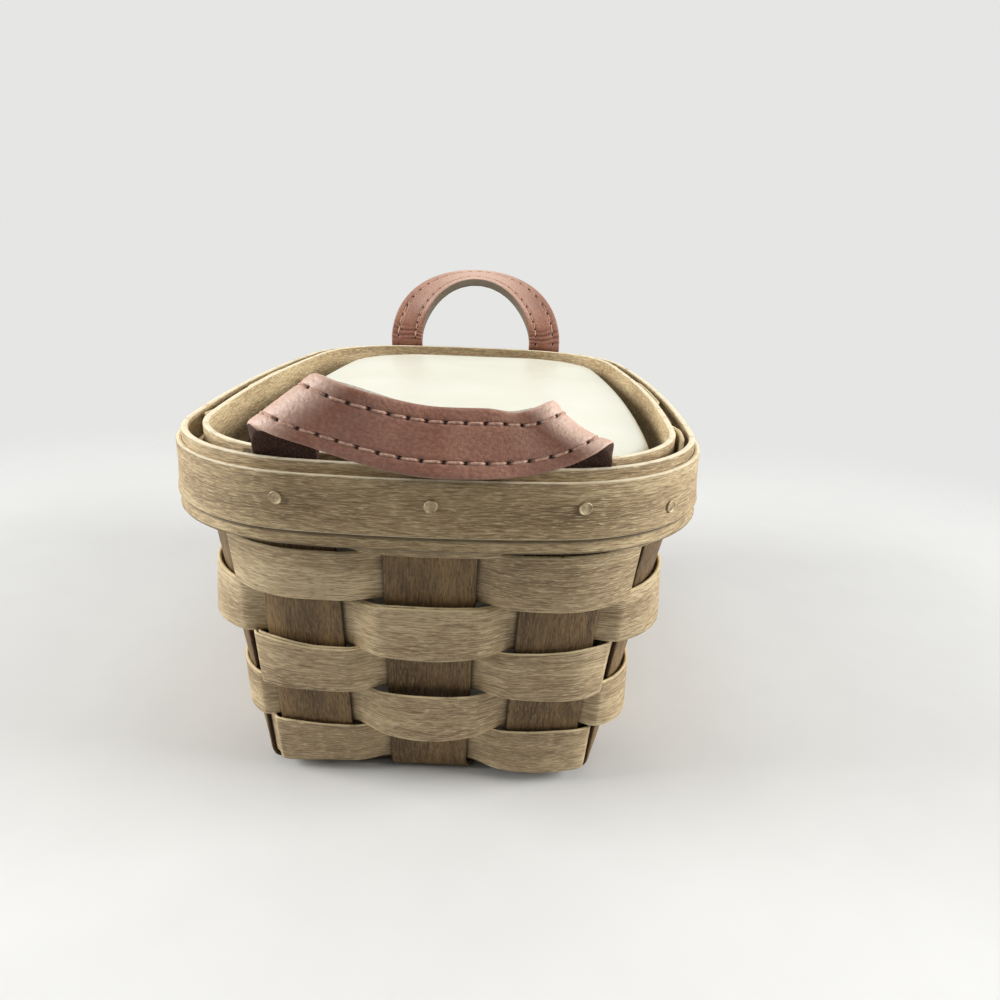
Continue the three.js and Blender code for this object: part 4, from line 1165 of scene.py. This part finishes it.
class Finish:
    """A material, or the surround of the scene, as it is put together."""

    def __init__(self, name, kind=bpy.data.materials):
        self.made = kind.new(name)
        self.made.use_nodes = True
        self.tree = self.made.node_tree
        self.tree.nodes.clear()

    def node(self, kind, settings=None, sockets=None, output=0):
        """Any node: its type, its settings, and the values, colour codes or wires of its input sockets."""
        made = self.tree.nodes.new(kind)
        for key, value in (settings or {}).items():
            if key == "stops":
                self.set_stops(made.color_ramp, value)
            else:
                setattr(made, key, value)
        for key, value in (sockets or {}).items():
            if isinstance(value, Wire):
                self.tree.links.new(value.socket, made.inputs[key])
            else:
                made.inputs[key].default_value = shade(value) if isinstance(value, str) else value
        return Wire(self, made.outputs[output]) if made.outputs else None

    @staticmethod
    def set_stops(ramp, stops):
        while len(ramp.elements) < len(stops):
            ramp.elements.new(0.5)
        for element, (place, colour) in zip(ramp.elements, stops):
            element.position = place
            element.color = shade(colour)

    def noted(self, name):
        return self.node("ShaderNodeAttribute", {"attribute_name": name}, output="Fac")

    def lay(self):
        """Along, across and seed of the strip, as three wires."""
        vector = self.node("ShaderNodeAttribute", {"attribute_name": "lay"}, output="Vector")
        return [self.node("ShaderNodeSeparateXYZ", sockets={0: vector}, output=i) for i in range(3)]

    def noise(self, x, y, z, detail=2.0, roughness=0.5):
        place = self.node("ShaderNodeCombineXYZ", sockets={0: x, 1: y, 2: z})
        return self.speckle(1.0, detail, roughness, place)

    def speckle(self, scale, detail=2.0, roughness=0.5, place=None):
        """Noise at a place, or by the place on the object; scale is then in spots per metre."""
        place = place or self.node("ShaderNodeTexCoord", output="Object")
        sockets = {"Vector": place, "Scale": scale, "Detail": detail, "Roughness": roughness}
        return self.node("ShaderNodeTexNoise", sockets=sockets)

    def ramp(self, factor, *stops):
        return self.node("ShaderNodeValToRGB", {"stops": stops}, {0: factor})

    def tint(self, below, above, factor):
        return self.node("ShaderNodeMix", {"data_type": "RGBA"}, {0: factor, 6: below, 7: above}, output=2)

    def bump(self, height, strength, depth):
        sockets = {"Height": height, "Strength": strength, "Distance": depth}
        return self.node("ShaderNodeBump", sockets=sockets)

    def done(self, colour, rough, normal, **plain):
        """The finished material; plain holds the numbers that are the same all over it."""
        sockets = {"Base Color": colour, "Roughness": rough, "Normal": normal}
        sockets.update({PLAIN_SOCKETS[key]: value for key, value in plain.items()})
        return self.covered_by(self.node("ShaderNodeBsdfPrincipled", sockets=sockets))

    def covered_by(self, shader, output="ShaderNodeOutputMaterial"):
        self.node(output, sockets={"Surface": shader})
        return self.made


def splint_finish(name, deep, plain, pale, cut, streak, shadow_seam=0.0):
    """Split wood: wandering fibres, short pale dashes and pores, slow drifts of tone and paler cut edges,
    except on the uprights, whose dark cut edges are painted shade.

    shadow_seam is how high on a strip, in metres, a painted shadow lies under the strip that covers it; the
    strip's lower edge also gets painted shade."""
    f = Finish(name)
    along, across, seed = f.lay()
    cut_edge = f.noted("cut_edge")
    tucked = f.noted("tucked")
    wander = f.noise(along * 90, across * 170, seed, 2.0) - 0.5
    aside = across + wander * 0.0011
    drift = f.noise(along * 24, across * 150, seed * 1.3, 2.0)
    fibre = f.noise(along * 210, aside * 2700, seed, 4.0, 0.65)
    dash = f.noise(along * 480, aside * 4200, seed * 2.1, 2.0)
    pore = f.noise(along * 480, aside * 3600, seed * 0.7 + 9.0, 1.0)
    tone = (fibre - 0.5) * 1.5 + (drift - 0.5) * 0.95 + 0.5
    wood = f.ramp(tone, (0.18, deep), (0.5, plain), (0.82, pale))
    wood = f.tint(wood, pale, dash.between(0.54, 0.66) * 0.7)
    wood = f.tint(wood, deep, pore.between(0.56, 0.68) * 0.6)
    wood = f.tint(wood, streak, drift.between(0.66, 0.78) * 0.3)
    wood = f.tint(wood, cut, cut_edge * fibre.between(0.2, 0.5) * 0.95)
    # Painted shade on a row where it passes behind an upright.
    wood = f.tint(wood, "2c2116", tucked * 0.8)
    if shadow_seam:
        # Painted shadow: a dark line just under the covering strip's foot; foot is painted shade along this
        # strip's own lower edge.
        painted_shadow_line = across.between(shadow_seam - 0.0016, shadow_seam - 0.0007) * (1 - across.between(shadow_seam + 0.001, shadow_seam + 0.002))
        foot = 1 - across.between(0.0001, 0.0006)
        wood = f.tint(wood, "3b2f20", painted_shadow_line * 0.8 + foot * 0.65)
    rough = 0.64 + (fibre - 0.5) * 0.3 + cut_edge * 0.2
    relief = f.bump(fibre + dash * 0.8 - pore * 0.6, 0.6, 0.00025)
    return f.done(wood, rough, relief, shine=0.3)


def leather_finish():
    """Rose brown grain side with fine creases, dark suede behind, taupe cut edges and dark stitch holes."""
    f = Finish("rose_leather")
    along, across, side = f.lay()
    flesh = f.noted("flesh")
    cut_edge = f.noted("cut_edge")
    hole = f.noted("hole")
    worn = f.noted("worn")
    crinkle = f.noted("crinkle")
    mottle = f.noise(along * 95, across * 120, side, 3.0, 0.55)
    pebble = f.noise(along * 1300, across * 1500, side, 3.0, 0.6)
    crease = f.noise(along * 380, across * 1300, side * 3.0, 3.0)
    nap = f.noise(along * 2400, across * 2600, side, 4.0, 0.75)
    blotch = mottle * 0.5 + pebble * 0.5
    grain = f.ramp(blotch, (0.34, "71412f"), (0.5, "8a5946"), (0.68, "a97860"))
    grain = f.tint(grain, "6b3c2a", crease.between(0.56, 0.76) * 0.4)
    # Lightened bends and rear arch top: painted sheen, partly wear.
    grain = f.tint(grain, "ddbba7", worn * (0.45 + pebble * 0.8))
    # The crease troughs are darkened: painted shade.
    grain = f.tint(grain, "5f3324", crinkle * 0.7)
    suede = f.ramp(nap, (0.32, "1a0e08"), (0.5, "40271c"), (0.7, "785542"))
    raw = f.ramp(nap, (0.3, "8f8477"), (0.6, "b5aa9c"), (0.75, "cfc6ba"))
    # The rear ear's cut edges are darker: painted shade.
    raw = f.tint(raw, "665c4f", side.between(-0.5, 0.5) * 0.85)
    colour = f.tint(grain, suede, flesh.between(0.3, 0.6))
    colour = f.tint(colour, raw, cut_edge)
    # The stitch holes are painted near black: painted shade inside them.
    colour = f.tint(colour, "170b07", hole.between(0.28, 0.55))
    rough = 0.5 + (pebble - 0.5) * 0.25 + flesh * 0.45 + cut_edge * 0.35
    relief = f.bump(pebble * 1.1 + crease * 0.6 + nap * flesh * 2.5, 0.55, 0.0003)
    return f.done(colour, rough, relief, shine=0.5)


def thread_finish():
    f = Finish("tan_thread")
    ply = f.speckle(1900.0, 2.0)
    colour = f.ramp(ply, (0.3, "9c7763"), (0.55, "c49d88"), (0.75, "dab8a3"))
    return f.done(colour, 0.6 + ply * 0.3, f.bump(ply, 0.5, 0.0002))


def tack_finish():
    f = Finish("dull_bronze")
    stain = f.speckle(900.0, 3.0, 0.6)
    colour = f.ramp(stain, (0.3, "7b6b53"), (0.5, "a39174"), (0.7, "c2b190"))
    rough = 0.36 + stain * 0.3
    return f.done(colour, rough, f.bump(stain, 0.25, 0.0001), metal=0.7)


def plastic_finish(name, low, plain, high, gloss):
    """Moulded plastic: nearly even, with a faint cloudiness, light scuffs and a fine orange peel."""
    f = Finish(name)
    cloud = f.speckle(26.0, 2.0)
    peel = f.speckle(900.0, 2.0)
    scuff = f.speckle(210.0, 5.0, 0.7)
    colour = f.ramp(cloud * 0.75 + scuff * 0.25, (0.36, low), (0.5, plain), (0.64, high))
    rough = gloss + (scuff - 0.5) * 0.25
    return f.done(colour, rough, f.bump(peel, 0.06, 0.0001), ior=1.49)


def floor_finish():
    """Pale matt floor that fades into the background at its rim."""
    f = Finish("pale_floor")
    place = f.node("ShaderNodeTexCoord", output="Object")
    flat = f.node("ShaderNodeVectorMath", {"operation": "LENGTH"}, {0: place}, output="Value")
    paper = f.speckle(60.0, 3.0)
    colour = f.ramp(paper, (0.3, "dbdbd9"), (0.7, "dddddb"))
    matt = f.node("ShaderNodeBsdfDiffuse", sockets={"Color": colour})
    clear = f.node("ShaderNodeBsdfTransparent")
    mixed = f.node("ShaderNodeMixShader", sockets={0: flat.between(0.16, 0.42), 1: matt, 2: clear})
    return f.covered_by(mixed)


# Floor, light and view
FLOOR_RADIUS = 0.7
FLOOR_SIDES = 96
FLOOR_DROP = 0.0002


def stage():
    angles = np.linspace(0, 2 * math.pi, FLOOR_SIDES + 1)[:-1]
    vertices = [(0.0, 0.0, 0.0)]
    vertices += [(FLOOR_RADIUS * math.cos(a), FLOOR_RADIUS * math.sin(a), 0.0) for a in angles]
    faces = [(0, i + 1, (i + 1) % FLOOR_SIDES + 1) for i in range(FLOOR_SIDES)]
    mesh = bpy.data.meshes.new("pale_floor")
    mesh.from_pydata(vertices, [], faces)
    mesh.materials.append(floor_finish())
    floor = bpy.data.objects.new("pale_floor", mesh)
    floor.location.z = -FLOOR_DROP
    bpy.context.scene.collection.objects.link(floor)


def softbox(name, place, target, size, power):
    lamp = bpy.data.lights.new(name, "AREA")
    lamp.shape = "RECTANGLE"
    lamp.size, lamp.size_y = size
    lamp.energy = power
    holder = bpy.data.objects.new(name, lamp)
    holder.location = place
    aim = Vector(target) - Vector(place)
    holder.rotation_euler = aim.to_track_quat("-Z", "Y").to_euler()
    bpy.context.scene.collection.objects.link(holder)


# The softboxes: place, aim, width and height in metres, and power in watts
SOFTBOXES = {
    "top_softbox": ((0.0, 0.0, 1.0), (0.0, 0.0, 0.05), (0.9, 0.9), 3.7),
    "left_softbox": ((-0.85, -0.1, 0.37), (0.0, 0.0, 0.06), (0.42, 0.44), 10.2),
    "right_softbox": ((0.85, -0.1, 0.37), (0.0, 0.0, 0.06), (0.42, 0.44), 10.4),
}
SURROUND_GLOW = 0.12
SEEN_RAYS = ("Camera", "Glossy", "Transmission")


def light():
    """Three softboxes, and a surround that is pale where it is seen but lights the scene only faintly."""
    for name, sizes in SOFTBOXES.items():
        softbox(name, *sizes)
    f = Finish("pale_surround", bpy.data.worlds)
    rays = [f.node("ShaderNodeLightPath", output=f"Is {kind} Ray") for kind in SEEN_RAYS]
    seen = rays[0].larger(rays[1]).larger(rays[2])
    strength = f.node("ShaderNodeMapRange", sockets={"Value": seen, "To Min": SURROUND_GLOW, "To Max": 1.0})
    glow = f.node("ShaderNodeBackground", sockets={"Color": "e6e6e4", "Strength": strength})
    bpy.context.scene.world = f.covered_by(glow, "ShaderNodeOutputWorld")


# The photograph's view: focal length in pixels of its frame, angles in radians, place in millimetres
FRAME_PIXELS = 1000
FOCAL_PIXELS = 691.34
SENSOR_WIDTH = 36.0
YAW = 0.003564
PITCH = 0.339128
ROLL = -0.0397176
EYE = (13.0246, -207.880, 125.141)


def view():
    ahead = Vector((math.sin(YAW) * math.cos(PITCH), math.cos(YAW) * math.cos(PITCH), -math.sin(PITCH)))
    level = Vector((math.cos(YAW), -math.sin(YAW), 0))
    down = ahead.cross(level)
    aside = math.cos(ROLL) * level + math.sin(ROLL) * down
    below = math.cos(ROLL) * down - math.sin(ROLL) * level
    camera = bpy.data.cameras.new("view")
    camera.sensor_width = SENSOR_WIDTH
    camera.lens = SENSOR_WIDTH * FOCAL_PIXELS / FRAME_PIXELS
    camera.clip_start = 0.005
    holder = bpy.data.objects.new("view", camera)
    turn = Matrix((aside, -below, -ahead)).transposed().to_4x4()
    holder.matrix_world = Matrix.Translation(Vector(EYE) * MM) @ turn
    bpy.context.scene.collection.objects.link(holder)
    bpy.context.scene.camera = holder


# Colours of each wood, as six hex digits: deep, plain, pale, cut edge and streak
WEAVER_TONES = ("79654a", "a8916f", "d4c09a", "efdcb0", "b58a5a")
# The uprights' cut edge colour is dark: painted shade in the slits beside their edges.
UPRIGHT_TONES = ("463621", "6c563a", "8d734c", "3a2b1b", "785b3a")
BAND_TONES = ("7a6548", "ac946f", "d6c299", "f2e6c8", "b8854f")


def dress():
    weaver_wood = splint_finish("weaver_splint", *WEAVER_TONES)
    upright_wood = splint_finish("upright_splint", *UPRIGHT_TONES)
    band_wood = splint_finish("band_splint", *BAND_TONES)
    # The middle band's wood carries a painted shadow under the outer band's foot and painted shade along its
    # own lower edge.
    shadowed_band_wood = splint_finish("under_band_splint", *BAND_TONES, (OUTER_BAND_FOOT - BAND_FOOT) * MM)
    # Each band: how far in its face lies, its thickness, foot, height and flare
    outer = (0.0, OUTER_BAND_THICKNESS, OUTER_BAND_FOOT, OUTER_BAND_HEIGHT, BAND_FLARE)
    middle = (MIDDLE_BAND_INSET, BAND_THICKNESS, BAND_FOOT, MIDDLE_BAND_HEIGHT, BAND_FLARE)
    inner = (INNER_BAND_INSET, BAND_THICKNESS, BAND_FOOT, INNER_BAND_HEIGHT, 0.0)
    for row in range(WEAVER_ROWS):
        woven_row(row, weaver_wood)
    base_splints(upright_wood)
    rim_band("outer", *outer, 5, 61, band_wood)
    rim_band("middle", *middle, 10, 67, shadowed_band_wood)
    rim_band("inner", *inner, 15, 73, band_wood)
    rim_tacks(tack_finish())
    ears(leather_finish(), thread_finish())
    tea_tub(plastic_finish("tub_plastic", "dfddd3", "e7e5dc", "eeece4", 0.35))
    tea_lid(plastic_finish("lid_plastic", "e3e2cf", "e9e8d6", "edecdd", 0.38))


bpy.context.scene.view_settings.view_transform = "Standard"
dress()
stage()
light()
view()
